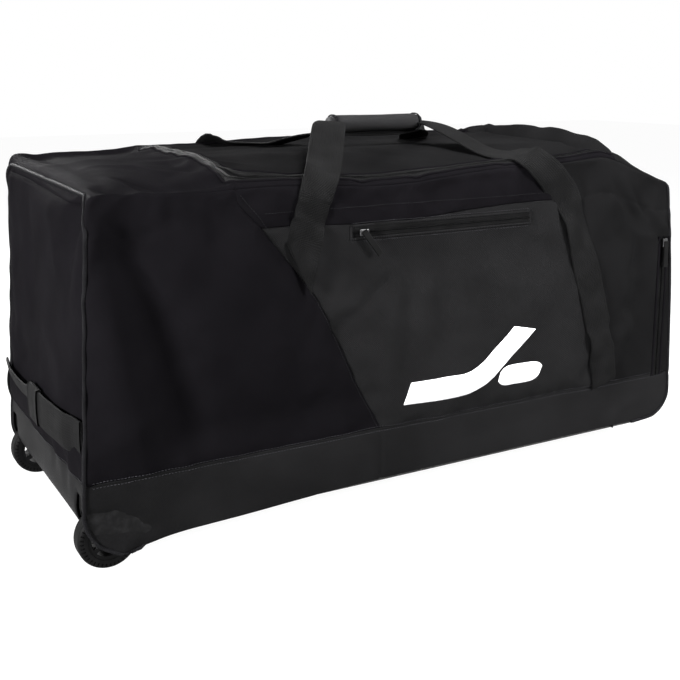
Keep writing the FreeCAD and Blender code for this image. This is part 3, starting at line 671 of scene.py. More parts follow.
def land(origin, direction, lift, fallback):
    """The shell's point that a ray meets, raised along the surface; fallback if it meets none."""
    place, normal, _, _ = SURFACE.ray_cast(Vector(origin), Vector(direction))
    if place is None:
        return Vector(fallback), -Vector(direction)
    return place + normal * lift, normal


FAR_OFF = 800.0           # outside the bag on every side


def on_wall(side, x, z, lift):
    """On the front (side -1) or back wall at x and z."""
    return land((x, side * FAR_OFF, z), (0, -side, 0), lift, (x, side * (HALF_W + lift), z))


def on_top(x, y, lift):
    """On the top at x and y."""
    return land((x, y, FAR_OFF), (0, 0, -1), lift, (x, y, TOP_Z + lift))


def on_end(side, y, z, lift):
    """On the wheel end (side -1) or the far end at y and z."""
    return land((side * FAR_OFF, y, z), (-side, 0, 0), lift, (side * (edge_x(z) + lift), y, z))


def places(landed):
    """The points alone of landed (point, normal) pairs."""
    return [point for point, _ in landed]


def laid_band(name, landed, width, thickness, crown=0.0):
    """Webbing or tape along landed (point, normal) pairs."""
    return band(name, places(landed), [normal for _, normal in landed], width, thickness, crown)


STITCH_PITCH = 4.5
STITCH_LENGTH = 3.0
STITCH_RINGS = ((0.0, 0.168), (0.25, 0.42), (0.75, 0.42), (1.0, 0.168))    # share of the length, radius
STITCH_FACETS = 5


def laid_stitches(name, landed):
    """A row of thread stitches along landed points."""
    line = spaced(places(landed), STITCH_PITCH)
    points, faces = [], []
    turns = [2 * math.pi * i / STITCH_FACETS for i in range(STITCH_FACETS)]
    ends = (len(STITCH_RINGS) - 1) * STITCH_FACETS
    for a, b in zip(line, line[1:]):
        along = (b - a).normalized()
        side = along.cross(Vector((0.3, 0.7, 0.2))).normalized()
        up = side.cross(along)
        first = len(points)
        for share, radius in STITCH_RINGS:
            middle = a + along * STITCH_LENGTH * share
            points += [middle + (side * math.cos(t) + up * math.sin(t)) * radius for t in turns]
        for at in range(first, first + ends, STITCH_FACETS):
            for i in range(STITCH_FACETS):
                j = (i + 1) % STITCH_FACETS
                faces.append([at + i, at + j, at + STITCH_FACETS + j, at + STITCH_FACETS + i])
        faces.append([first + i for i in reversed(range(STITCH_FACETS))])
        faces.append([first + ends + i for i in range(STITCH_FACETS)])
    return mesh_object(name, points, faces)


# ---- materials -------------------------------------------------------------------------
COOL = (1.0, 0.98, 1.1)
NEUTRAL = (1.0, 0.99, 1.03)
VIOLET = (1.04, 0.96, 1.14)
IVORY = (1.0, 0.98, 0.94)
STEELY = (1.0, 1.0, 1.02)
NYLON = (1.0, 1.0, 1.05)


class Look:
    """A node material built up step by step."""

    def __init__(self, name):
        self.material = bpy.data.materials.new(name)
        self.material.use_nodes = True
        self.nodes = self.material.node_tree.nodes
        self.links = self.material.node_tree.links
        self.shader = self.nodes["Principled BSDF"]
        self.coords = self.nodes.new("ShaderNodeTexCoord")
        self.bumped = None

    def set(self, **values):
        """Sets shader sockets to values that are the same all over."""
        for key, value in values.items():
            self.shader.inputs[key.replace("_", " ")].default_value = value

    def math(self, kind, a, b=None, c=None):
        """A math node's output; each input is a number or another node's output."""
        node = self.nodes.new("ShaderNodeMath")
        node.operation = kind
        for socket, value in zip(node.inputs, (a, b, c)):
            if value is None:
                continue
            if isinstance(value, (int, float)):
                socket.default_value = value
            else:
                self.links.new(value, socket)
        return node.outputs[0]

    def noise(self, scale, detail=3.0, stretch=(1, 1, 1)):
        """Noise over the piece, from 0 to 1."""
        mapping = self.nodes.new("ShaderNodeMapping")
        mapping.inputs["Scale"].default_value = stretch
        self.links.new(self.coords.outputs["Object"], mapping.inputs["Vector"])
        node = self.nodes.new("ShaderNodeTexNoise")
        node.inputs["Scale"].default_value = scale
        node.inputs["Detail"].default_value = detail
        self.links.new(mapping.outputs[0], node.inputs["Vector"])
        return node.outputs["Fac"]

    def cloth_axes(self):
        """Metres along and across the cloth."""
        node = self.nodes.new("ShaderNodeSeparateXYZ")
        self.links.new(self.coords.outputs["UV"], node.inputs[0])
        return node.outputs[0], node.outputs[1]

    def waves(self, value, period):
        """A sine of a length in metres."""
        return self.math("SINE", self.math("MULTIPLY", value, 2 * math.pi / period))

    def colour(self, share, low, high, low_at=0.3, high_at=0.7):
        """Base colour between low and high, as the share goes from low_at to high_at."""
        ramp = self.nodes.new("ShaderNodeValToRGB")
        ramp.color_ramp.elements[0].color = (*low, 1)
        ramp.color_ramp.elements[0].position = low_at
        ramp.color_ramp.elements[1].color = (*high, 1)
        ramp.color_ramp.elements[1].position = high_at
        self.links.new(share, ramp.inputs[0])
        self.links.new(ramp.outputs[0], self.shader.inputs["Base Color"])

    def roughness(self, share, low, high):
        """Roughness between low and high, as the share goes from 0 to 1."""
        node = self.nodes.new("ShaderNodeMapRange")
        node.inputs["To Min"].default_value = low
        node.inputs["To Max"].default_value = high
        self.links.new(share, node.inputs["Value"])
        self.links.new(node.outputs[0], self.shader.inputs["Roughness"])

    def bump(self, height, distance, strength=1.0):
        """Relief of a depth in metres, on top of any already there."""
        node = self.nodes.new("ShaderNodeBump")
        node.inputs["Distance"].default_value = distance
        node.inputs["Strength"].default_value = strength
        self.links.new(height, node.inputs["Height"])
        if self.bumped is not None:
            self.links.new(self.bumped, node.inputs["Normal"])
        self.bumped = node.outputs[0]
        self.links.new(self.bumped, self.shader.inputs["Normal"])


def tinted(tone, tint, factor=1.0):
    """A grey of the given tone, with a tint."""
    return tuple(tone * factor * t for t in tint)


def woven(name, tone, tint, period, weave_depth, rough, shine, crinkle=0.0012):
    """Plain-weave polyester: threads over and under, uneven dye, light crinkles."""
    look = Look(name)
    along, across = look.cloth_axes()
    threads = look.math("MULTIPLY", look.waves(along, period), look.waves(across, period))
    uneven = look.noise(14, 4.0)
    speck = look.noise(900, 2.0)
    mixed = look.math("ADD", look.math("MULTIPLY", uneven, 0.72), look.math("MULTIPLY", speck, 0.28))
    mixed = look.math("MULTIPLY_ADD", threads, 0.05, mixed)
    look.colour(mixed, tinted(tone, tint, 0.85), tinted(tone, tint, 1.16), 0.36, 0.64)
    look.roughness(look.noise(35, 3.0), rough - 0.07, rough + 0.07)
    look.bump(look.noise(11, 3.0, (1, 1, 1.4)), crinkle, 0.7)
    look.bump(threads, weave_depth, 0.9)
    look.set(Specular_IOR_Level=shine)
    return look.material


def coated(name, tone, tint):
    """PVC-coated tarpaulin: shallow pressed grain, soft shine, scuffs low down."""
    look = Look(name)
    along, across = look.cloth_axes()
    grain = look.math("MULTIPLY", look.waves(along, 0.0022), look.waves(across, 0.0022))
    slow = look.math("MULTIPLY", look.noise(6, 3.0), 0.75)
    scuffs = look.math("MULTIPLY_ADD", look.noise(420, 4.0), 0.25, slow)
    look.colour(scuffs, tinted(tone, tint, 0.8), tinted(tone, tint, 1.3), 0.4, 0.62)
    look.roughness(look.noise(9, 4.0), 0.38, 0.52)
    look.bump(look.noise(7, 2.0), 0.0022, 0.6)
    look.bump(grain, 0.00012, 0.5)
    look.set(Specular_IOR_Level=0.008)
    return look.material


def webbing(name, tone, tint, width, rib=0.0021):
    """Ribbed webbing with a stitch row near each edge and darker selvedges."""
    look = Look(name)
    along, across = look.cloth_axes()
    ribs = look.waves(along, rib)
    weaving = look.math("MULTIPLY", look.waves(along, 2 * rib), 0.0006)
    zigzag = look.waves(look.math("ADD", across, weaving), 0.0034)
    aside = look.math("ABSOLUTE", across)
    row = look.math("COMPARE", aside, width / 2 - 0.0045, 0.0006)
    dash = look.math("GREATER_THAN", look.waves(along, 0.0052), -0.35)
    thread = look.math("MULTIPLY", row, dash)
    worn = look.math("MULTIPLY_ADD", ribs, 0.05, look.noise(40, 5.0))
    look.colour(worn, tinted(tone, tint, 0.7), tinted(tone, tint, 1.45), 0.34, 0.7)
    look.roughness(look.noise(80, 3.0), 0.55, 0.75)
    look.bump(look.math("MULTIPLY_ADD", zigzag, 0.6, ribs), 0.00025, 0.9)
    look.bump(thread, 0.0006, 0.9)
    look.set(Specular_IOR_Level=0.03)
    return look.material


def moulded(name, tone, tint, rough, grain_scale=420, grain=0.00012, soft=0.0003):
    """Moulded plastic or rubber: spark-eroded grain, a slow unevenness, scuffed high spots."""
    look = Look(name)
    scuffs = look.noise(90, 6.0)
    look.colour(scuffs, tinted(tone, tint, 0.8), tinted(tone, tint, 1.7), 0.45, 0.75)
    look.roughness(look.noise(60, 4.0), rough - 0.08, rough + 0.12)
    look.bump(look.noise(25, 2.0), soft, 0.5)
    look.bump(look.noise(grain_scale, 2.0), grain, 0.8)
    look.set(Specular_IOR_Level=0.05)
    return look.material


def metal(name, tone, rough, stretch=(1, 1, 1)):
    """Brushed or cast metal, its finish drawn out along the stretch."""
    look = Look(name)
    look.colour(look.noise(160, 5.0), tinted(tone, STEELY, 0.7), tinted(tone, STEELY, 1.1))
    look.roughness(look.noise(300, 3.0, stretch), rough - 0.08, rough + 0.12)
    look.bump(look.noise(700, 2.0, stretch), 0.00005, 0.6)
    look.set(Metallic=0.95)
    return look.material


def zip_teeth(name, tone):
    """Nylon coil: its colour is lighter on each tooth's crest, a painted highlight, and darker between the
    teeth, painted shade; with a dark line down the middle.
    """
    look = Look(name)
    along, across = look.cloth_axes()
    teeth = look.waves(along, 0.0024)
    # Painted highlight on the tooth crests and painted shade between them, over a random tone.
    shade = look.math("MULTIPLY_ADD", teeth, 0.3, look.noise(120))
    look.colour(shade, tinted(tone, NYLON, 0.35), tinted(tone, NYLON, 1.5), 0.3, 0.8)
    look.roughness(look.noise(200), 0.3, 0.45)
    look.bump(teeth, 0.0007, 1.0)
    look.bump(look.waves(across, 0.0045), 0.0003, 0.6)
    look.set(Specular_IOR_Level=0.02)
    return look.material


def printed_white():
    """White print with the weave just showing through."""
    look = Look("patch_print")
    along, across = look.cloth_axes()
    threads = look.math("MULTIPLY", look.waves(along, 0.0016), look.waves(across, 0.0016))
    look.colour(look.noise(70, 5.0), (0.66, 0.66, 0.67), (0.82, 0.82, 0.83), 0.3, 0.6)
    look.roughness(look.noise(40), 0.45, 0.6)
    look.bump(threads, 0.00012, 0.6)
    look.set(Specular_IOR_Level=0.3)
    return look.material


def fibreboard():
    """Grey-brown pressed fibres of the stiffener."""
    look = Look("board_fibre")
    look.colour(look.noise(240, 6.0, (1, 4, 1)), (0.012, 0.012, 0.013), (0.05, 0.048, 0.045), 0.35, 0.7)
    look.roughness(look.noise(50), 0.6, 0.85)
    look.bump(look.noise(500, 3.0), 0.0002, 0.8)
    return look.material


# woven: tone, tint, thread period, weave depth, roughness, shine, crinkle depth. webbing: tone, tint,
# width, rib period. moulded: tone, tint, roughness, grain scale, grain depth. Lengths in metres.
LOOKS = {
    "wall_fabric": woven("wall_weave", 0.0033, VIOLET, 0.0017, 0.00016, 0.55, 0.001, 0.0007),
    "pocket_fabric": woven("pocket_weave", 0.007, NEUTRAL, 0.0028, 0.00045, 0.5, 0.01, 0.0006),
    "boot_tarpaulin": coated("boot_coating", 0.0056, NEUTRAL),
    "binding": webbing("binding_tape", 0.005, COOL, 0.05, 0.0016),
    "webbing": webbing("strap_webbing", 0.0031, NEUTRAL, STRAP_W * MM),
    "grip_fabric": woven("grip_weave", 0.0125, NEUTRAL, 0.002, 0.00025, 0.6, 0.02),
    "zip_tape": webbing("zip_tape_weave", 0.003, NEUTRAL, 0.024, 0.0013),
    "zip_coil": zip_teeth("zip_coil_nylon", 0.0025),
    "zip_metal": metal("zip_gunmetal", 0.06, 0.34),
    "pull_rubber": moulded("pull_rubber_grain", 0.0018, NEUTRAL, 0.5),
    "moulded_plastic": moulded("moulded_grain", 0.005, NEUTRAL, 0.48),
    "board": fibreboard(),
    "tyre": moulded("tyre_rubber_grain", 0.0022, NEUTRAL, 0.6, 300, 0.0002),
    "hub_plastic": moulded("hub_grain", 0.0026, NEUTRAL, 0.38),
    "bush_nylon": moulded("bush_grain", 0.16, IVORY, 0.4),
    "steel": metal("brushed_steel", 0.55, 0.3, (1, 6, 1)),
    "emblem_white": printed_white(),
}
THREAD = moulded("thread_lustre", 0.022, COOL, 0.5, 2500)
DARK_THREAD = moulded("thread_dark", 0.007, COOL, 0.5, 2500)
# A lighter, less violet copy of the wall weave for the right front, right top and lid panels, where the lamps
# fall most: painted light on the same fabric as the walls.
PAINTED_LIGHT_WALL = woven("painted_light_wall_weave", 0.0047, NEUTRAL, 0.0017, 0.00016, 0.55, 0.001, 0.0007)


def dress(piece, slot, body="bag", bend=None, look=None):
    """Gives a piece its slot's material, or the look given, and hangs it on its body; given a bend, the
    (start, end) of a bend off the bag, it only bakes the piece's placement in instead.
    """
    piece.data.materials.clear()
    piece.data.materials.append(look or LOOKS[slot])
    if bend:
        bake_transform(piece)
    else:
        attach(piece, body)
    return piece


def dress_nodes():
    """Every CAD node that stays shown gets its slot's procedural material."""
    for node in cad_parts.values():
        for holder in node.material_slots:
            plain = holder.material.name.split(".")[0]
            if plain in LOOKS:
                holder.material = LOOKS[plain]


# ---- panels and seams --------------------------------------------------------------------
# Panels that get the lighter copy of the wall weave: painted light where the lamps fall most.
PAINTED_LIGHT_PANELS = ("front_right_panel", "top_right_panel", "lid_panel")
BOOT_PANELS = ("boot_front", "boot_back", "boot_floor", "boot_wheel_end", "boot_far_end")
LID_BEND = ((0, (LID_HALF_Y - 2) * MM, TOP_Z * MM), (0, (LID_HALF_Y - 47) * MM, TOP_Z * MM))
SEAM_LIFT = 0.5           # threads stand on the fabric
SEAM_STEP = 6.0
LIP_OFF = 9.0             # a wall zip's folded lips lie this far from its coil
WELT_R = 2.5
WELT_REACH = 96.0         # a welt starts this far in from the end, under the bag
WELT_ENDS = (7, 5, 3)     # its last points sink into the shell this deep


def add_panels():
    """Every sewn panel of the shell; the lid's is given its hinge seam as a bend, which only bakes its
    placement in.
    """
    for region in REGIONS:
        panel = cut_panel(region)
        slot = "boot_tarpaulin" if region in BOOT_PANELS else "wall_fabric"
        hidden = [region]
        if region == "pocket_skin":
            slot = "pocket_fabric"
            hidden += ["pocket_backing", "pocket_binding"]
        body, bend = ("lid", LID_BEND) if region == "lid_panel" else ("bag", None)
        # The right front, right top and lid panels get the lighter copy of the wall weave, painted light.
        dress(panel, slot, body, bend, PAINTED_LIGHT_WALL if region in PAINTED_LIGHT_PANELS else None)
        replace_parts(panel, *hidden)


def end_edge(loop, side):
    """A wall's edge at one end: outwards along the bottom, then up to just under the top."""
    edge = [p for p in loop if p.x * side > HALF_L - WELT_REACH and p.z < TOP_Z - 50]
    bottom = sorted([p for p in edge if p.z < BASE_Z + 1], key=lambda p: p.x * side)
    return bottom + sorted([p for p in edge if p.z >= BASE_Z + 1], key=lambda p: (p.z, -p.x * side))


def add_welts():
    """Piped edge round each end: up the front wall's edge, over the top and down the back wall's."""
    for side, name, node in ((-1, "wheel_end", "front_piping"), (1, "far_end", "back_piping")):
        top = [edge_over(side, y) for y in np.linspace(-HALF_W + 24, HALF_W - 24, 22)]
        border = end_edge(WELT_LOOPS[0], side) + top + end_edge(WELT_LOOPS[1], side)[::-1]
        path = spaced(smoothed(border, 3), SEAM_STEP)
        centre = Vector((side * (HALF_L - 60), 0, (TOP_Z + BASE_Z) / 2))
        path = [SURFACE.find_nearest(p)[0] + (p - centre).normalized() * 1.2 for p in path]
        for from_end, depth in enumerate(WELT_ENDS):
            for index in (from_end, -1 - from_end):
                path[index] += (centre - path[index]).normalized() * depth
        welt = tube("welt_" + name, path, WELT_R, facets=10, up=Vector((1, 0, 0)))
        dress(welt, "binding")
        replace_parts(welt, node)


def edge_over(side, y):
    """The settled shell's corner between an end and the top, at y."""
    aim = Vector((side * 0.72, 0, 0.69))
    start = Vector((side * (HALF_L - 60), y, TOP_Z - 55))
    place, _, _, _ = SURFACE.ray_cast(start, aim)
    return place or SURFACE.find_nearest(start + aim * 75)[0]


def add_seam_threads():
    """Topstitching beside the boot seam, the slanting seam and the yoke seam."""
    xs = np.arange(-500, 500, SEAM_STEP)
    ys = np.arange(-194, 195, SEAM_STEP)
    zs = np.arange(SEAM_Z + 5, TOP_Z - 22, SEAM_STEP)
    yoke_xs = np.arange(slant_x(YOKE_Z) + 4, leg_x(1, YOKE_Z) - 26, SEAM_STEP)
    above, below = SEAM_Z + 3.5, SEAM_Z - 3.5
    rows = {"boot_front_above": [on_wall(-1, x, above, SEAM_LIFT) for x in xs],
            "boot_front_below": [on_wall(-1, x, below, SEAM_LIFT) for x in xs],
            "boot_back": [on_wall(1, x, above, SEAM_LIFT) for x in xs],
            "boot_wheels": [on_end(-1, y, above, SEAM_LIFT) for y in ys],
            "boot_far": [on_end(1, y, above, SEAM_LIFT) for y in ys],
            "slant": [on_wall(-1, slant_x(z) - 4, z, SEAM_LIFT) for z in zs],
            "yoke": [on_wall(-1, x, YOKE_Z + 4, SEAM_LIFT) for x in yoke_xs]}
    for name, landed in rows.items():
        look = THREAD if name.startswith("boot") else DARK_THREAD
        dress(laid_stitches("stitches_" + name, landed), "binding", look=look)


def add_seam_lips():
    """Folded seam allowances that stand just proud along the boot seam."""
    xs = np.arange(-499, 500, 8.0)
    ys = np.arange(-198, 199, 8.0)
    lips = {"boot_front": [on_wall(-1, x, SEAM_Z, 0.2) for x in xs],
            "boot_back": [on_wall(1, x, SEAM_Z, 0.2) for x in xs],
            "boot_wheels": [on_end(-1, y, SEAM_Z, 0.2) for y in ys],
            "boot_far": [on_end(1, y, SEAM_Z, 0.2) for y in ys]}
    for name, landed in lips.items():
        dress(tube("seam_lip_" + name, spaced(places(landed), SEAM_STEP), 1.3), "boot_tarpaulin")


# ---- zips --------------------------------------------------------------------------------
def lid_border(inset, lift):
    """Landed points along the zip's U, from the hinge end of its left leg to that of its right leg."""
    left, right, front = LID_LOW.x + inset, LID_HIGH.x - inset, -LID_HALF_Y + inset
    turns = ((left, ZIP_STOP_Y), (left, front), (right, front), (right, ZIP_STOP_Y))
    plan = [Vector((x, y, 0)) for x, y in turns]
    corner = 16.0
    rounded = [plan[0]]
    for before, here, after in zip(plan, plan[1:], plan[2:]):
        back = (before - here).normalized() * corner
        onward = (after - here).normalized() * corner
        rounded += [here + back, here + (back + onward) * 0.4, here + onward]
    rounded.append(plan[-1])
    return [on_top(p.x, p.y, lift) for p in spaced(smoothed(rounded, 2), 7.0)]


def add_main_zip():
    """Two tapes, their folded lips and the coil between them; the inner half is given the lid's bend, which
    only bakes its placement in.
    """
    outer = dress(laid_band("main_tape_outer", lid_border(-5.2, 0.5), 9.5, 1.0, 0.3), "zip_tape")
    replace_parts(outer, "main_zip_tape")
    inner = laid_band("main_tape_inner", lid_border(6.8, 0.5), 11.5, 1.0, 0.3)
    dress(inner, "zip_tape", "lid", LID_BEND)
    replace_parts(inner, "lid_zip_tape")
    coil = dress(tube("main_coil", places(lid_border(-2.6, 1.0)), 1.5), "zip_coil")
    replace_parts(coil, "main_zip_coil")
    dress(tube("main_lip_outer", places(lid_border(-9.5, 0.3)), 1.9), "wall_fabric")
    dress(tube("main_lip_inner", places(lid_border(13.0, 0.7)), 2.1), "wall_fabric", "lid", LID_BEND)


def wall_line(xs, zs, lift):
    """Landed points along a line of the front wall."""
    return [on_wall(-1, x, z, lift) for x, z in zip(xs, zs)]


def add_wall_zip(name, xs, zs, lips, slot):
    """A zip along a line of the front wall: its tape, its coil and the folded lips at either side."""
    tape = dress(laid_band(name + "_tape", wall_line(xs, zs, 0.3), 22, 1.0), "zip_tape")
    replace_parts(tape, name + "_zip_tape")
    coil = dress(tube(name + "_coil", places(wall_line(xs, zs, 1.2)), 1.4), "zip_coil")
    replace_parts(coil, name + "_zip_coil")
    for side, (along_x, along_z) in lips.items():
        path = places(wall_line(xs + along_x, zs + along_z, 0.6))
        dress(tube(f"{name}_lip_{side}", path, 2.0), slot)


def add_pocket_zip():
    """The long zip across the pocket, with stitched lips and closed ends."""
    middle = (POCKET_ZIP_LOW.z + POCKET_ZIP_HIGH.z) / 2
    xs = np.arange(POCKET_ZIP_LOW.x, POCKET_ZIP_HIGH.x + 1, SEAM_STEP)
    level = np.full_like(xs, middle)
    add_wall_zip("pocket", xs, level, {"upper": (0, LIP_OFF), "lower": (0, -LIP_OFF)}, "pocket_fabric")
    for name, rise in (("upper", 1.45 * LIP_OFF), ("lower", -1.45 * LIP_OFF)):
        stitches = laid_stitches("stitches_pocket_" + name, wall_line(xs, level + rise, 0.4))
        dress(stitches, "binding", look=THREAD)
    zs = np.arange(middle - 10, middle + 11, 5.0)
    for name, x in (("left", xs[0] - 1), ("right", xs[-1] + 1)):
        closed = places(wall_line(np.full_like(zs, x), zs, 0.6))
        dress(tube("pocket_end_" + name, closed, 1.8), "pocket_fabric")


def add_end_zip():
    """The short upright zip near the far end."""
    zs = np.arange(END_ZIP_LOW.z, END_ZIP_HIGH.z + 1, SEAM_STEP)
    upright = np.full_like(zs, (END_ZIP_LOW.x + END_ZIP_HIGH.x) / 2)
    add_wall_zip("end", upright, zs, {"left": (-LIP_OFF, 0), "right": (LIP_OFF, 0)}, "wall_fabric")


# ---- straps and handles ------------------------------------------------------------------
STRAP_T = 2.6
STRAP_LIFT = 2.0          # a sewn leg's middle stands this far off the wall
STRAP_CLEAR = 1.3         # least room between a strap's middle and the shell
ZIP_CLEAR = 4.2           # and this much more where the front strap crosses the zip
GATHERED = (44.0, 32.0, 24.0, 22.0)      # its widths as it folds together into the grip
GRIP_ENTRY = 50.0         # from the grip's middle to where each half ends inside it


def strap_x(side, wall, z):
    """A leg's middle; the front one at the far end turns in towards the grip above the pocket."""
    turned = VEER * float(ease(YOKE_Z - 12, TOP_Z + 15, z)) if (side, wall) == (1, -1) else 0.0
    return leg_x(side, z) - turned


def leg_path(side, wall, low_z):
    """A sewn leg from its lower end up to the shell's rim: points and outward normals."""
    zs = np.arange(low_z, TOP_Z - 30, 8.0)
    return [on_wall(wall, strap_x(side, wall, z), z, STRAP_LIFT) for z in zs]


def free_run(side, wall, grip_z, arch):
    """A strap's free part from the rim to the grip: it lies on the lid, or arches over it."""
    start = Vector((strap_x(side, wall, TOP_Z), wall * (HALF_W + 1), 0))
    end = Vector((STRAP_MID_X + side * 80.0, wall * 3.0, 0))
    rim_z = on_wall(wall, start.x, TOP_Z - 30, STRAP_LIFT)[0].z + 20
    run = []
    for t in map(float, np.linspace(0.06, 1.0, 12)):
        plan = start.lerp(end, t)
        lying = on_top(plan.x, plan.y, STRAP_T)[0].z
        rising = rim_z + (grip_z - rim_z) * float(ease(0.1, 1.0, t))
        run.append(Vector((plan.x, plan.y, max(lying, rising) + arch * math.sin(math.pi * t) ** 0.8)))
    return run


def loop_path(wall, grip_z, low_left, left_arch):
    """A carry strap from one leg's sewn end, over the top, and down to the other's."""
    halves = []
    for side, low_z, arch in ((-1, low_left, left_arch), (1, SEAM_Z + 4, 0.0)):
        sewn = leg_path(side, wall, low_z)
        free = free_run(side, wall, grip_z, arch)
        facing = [normal for _, normal in sewn]
        for k in range(len(free)):
            facing.append(Vector((0, wall * max(0.12, 0.7 - 0.12 * k), min(1.0, 0.45 + 0.2 * k))))
        facing.append(Vector((0, -0.5 if wall > 0 else 0.0, 1)))
        points = places(sewn) + free + [Vector((STRAP_MID_X + side * GRIP_ENTRY, 0, grip_z))]
        widths = [STRAP_W] * (len(points) - len(GATHERED)) + list(GATHERED)
        halves.append((points, facing, widths))
    (left, left_n, left_w), (right, right_n, right_w) = halves
    return left + right[::-1], left_n + right_n[::-1], left_w + right_w[::-1]


def refined(points, normals, widths):
    """Rounds a strap's run; its facing and width are rounded with it."""
    packed = [(p, n, Vector((w, 0, 0))) for p, n, w in zip(points, normals, widths)]
    lines = [smoothed([entry[k] for entry in packed], 2) for k in range(3)]
    return lines[0], [n.normalized() for n in lines[1]], [w.x for w in lines[2]]


def around(values, k):
    """The value at k with its two neighbours at either side."""
    return values[max(k - 2, 0):k + 3]


def kept_off(path, wall):
    """Pushes a strap's run out until its whole width clears the shell, and the zip where it crosses it."""
    pushes = []
    for point in path:
        over_zip = bump(wall * LID_HALF_Y, 26, point.y) * ease(TOP_Z - 25, TOP_Z - 5, point.z)
        wanted = STRAP_CLEAR + ZIP_CLEAR * float(over_zip) * (wall < 0)
        push = Vector((0, 0, 0))
        for aside in (-0.42, 0.0, 0.42):
            sample = point + Vector((aside * STRAP_W, 0, 0))
            place, normal, _, _ = SURFACE.find_nearest(sample)
            short = wanted - (sample - place).dot(normal)
            if short > push.length:
                push = normal * short
        pushes.append(push)
    widest = [max(around(pushes, k), key=lambda p: p.length) for k in range(len(path))]
    evened = [sum(around(widest, k), Vector()) / len(around(widest, k)) for k in range(len(path))]
    return [point + push for point, push in zip(path, evened)]


def add_carry_strap(wall, name, grip_z, low_left, left_arch, tuck):
    """A strap sewn down both its legs, its loop running over the rim; the fold at the rim is given as a bend,
    which only bakes its placement in.

    left_arch is how high its left half bows, and tuck is how much lower that leg's
    inner edge is cut than its outer one."""
    points, normals, widths = loop_path(wall, grip_z, low_left, left_arch)
    path, facing, widths = refined(points, normals, widths)
    path = kept_off(path, wall)
    strap = band("carry_strap_" + name, path, facing, widths, STRAP_T)
    slant_end(strap, path, tuck / STRAP_W)
    edge = wall * (HALF_W + 6.0)
    start = Vector((0, edge, TOP_Z - 14)) * MM
    end = Vector((0, edge - wall * 24, TOP_Z + 8)) * MM
    dress(strap, "webbing", name + "_strap_loop", (start, end))
    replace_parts(strap, name + "_strap", name + "_strap_legs")


def slant_end(strap, path, slope):
    """Cuts a strap's first end at a slant, by sliding its points along the strap."""
    reach = 40.0
    along = (path[0] - path[1]).normalized()
    for vertex in strap.data.vertices:
        offset = vertex.co / MM - path[0]
        back = -offset.dot(along)
        if vertex.co.y <= 0 and abs(back) <= reach and offset.length <= 1.5 * reach:
            vertex.co += along * offset.x * slope * (1 - back / reach) * MM


def squared(turn, half_w, half_h):
    """A point of an oval with square shoulders, as (across, up)."""
    c, s = math.cos(turn), math.sin(turn)
    return math.copysign(abs(c) ** 0.8, c) * half_w, math.copysign(abs(s) ** 0.8, s) * half_h


def sleeve_size(share):
    """How full the grip is from one end (0) to the other (1): drawn in at its ends and a little gripped."""
    size = 0.80 + 0.20 * float(ease(0.0, 0.07, min(share, 1 - share)))
    return size + 0.012 * math.sin(9 * share) - 0.03 * float(bump(0.5, 0.3, share))


def add_grip():
    """Padded sleeve wrapped round the strap, closed along its lower back edge."""
    middle = (GRIP_LOW + GRIP_HIGH) / 2
    half_w = (GRIP_HIGH.y - GRIP_LOW.y) / 2
    half_h = (GRIP_HIGH.z - GRIP_LOW.z) / 2
    stations = np.linspace(GRIP_LOW.x, GRIP_HIGH.x, 34)
    count = 36
    girth = 95.0
    points, faces, uvs = [], [], []
    for k, x in enumerate(stations):
        size = sleeve_size((x - GRIP_LOW.x) / (GRIP_HIGH.x - GRIP_LOW.x))
        for turn in [2 * math.pi * i / count for i in range(count)]:
            lumps = 0.02 * noise.noise(Vector((x / 18, 2 * math.cos(turn), 2 * math.sin(turn))))
            soft = 1 + lumps - 0.05 * float(bump(4.1, 0.16, turn))
            y, z = squared(turn, half_w * size * soft, half_h * size * soft)
            points.append((x, middle.y + y, middle.z + z))
        for i in range(count if k else 0):
            j = (i + 1) % count
            a, b = (k - 1) * count, k * count
            faces.append([b + i, b + j, a + j, a + i])
            u0, u1 = stations[k - 1] * MM, x * MM
            v0, v1 = girth * MM * i / count, girth * MM * (i + 1) / count
            uvs.append([(u1, v0), (u1, v1), (u0, v1), (u0, v0)])
    for k in (0, len(stations) - 1):
        ring = [k * count + i for i in range(count)]
        faces.append(ring if k == 0 else ring[::-1])
        uvs.append([(i * MM, 0.0) for i in range(count)])
    grip = dress(mesh_object("grip_sleeve", points, faces, uvs), "grip_fabric", "front_strap_loop")
    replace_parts(grip, "grip_wrap")
    turns = np.linspace(0, 2 * math.pi, 32, endpoint=False)
    hem_at = [squared(t, half_w + 0.4, half_h + 0.4) for t in turns]
    for name, x in (("a", GRIP_LOW.x + 6), ("b", GRIP_HIGH.x - 6)):
        ring = [Vector((x, middle.y + y, middle.z + z)) for y, z in hem_at]
        hem = tube("grip_hem_" + name, ring, 1.2, closed=True, up=Vector((1, 0, 0)))
        dress(hem, "binding", "front_strap_loop")


def bowed(node, side, sag, droop=0.0, count=40):
    """Run of a handle across an end: sewn at both ends and standing off in between."""
    low, high = in_mm(node)
    middle_z = (low.z + high.z) / 2
    reach = high.y - 4
    landed = []
    for share in np.linspace(-1, 1, count):
        y = share * reach
        wall, _ = on_end(side, y, middle_z, 2.2)
        out = sag * (1 - share**2) * min(1.0, (1 - abs(share)) * 6)
        place = Vector((wall.x + side * out, y, middle_z - droop * (1 - share**2)))
        landed.append((place, Vector((side, 0, 0))))
    return landed


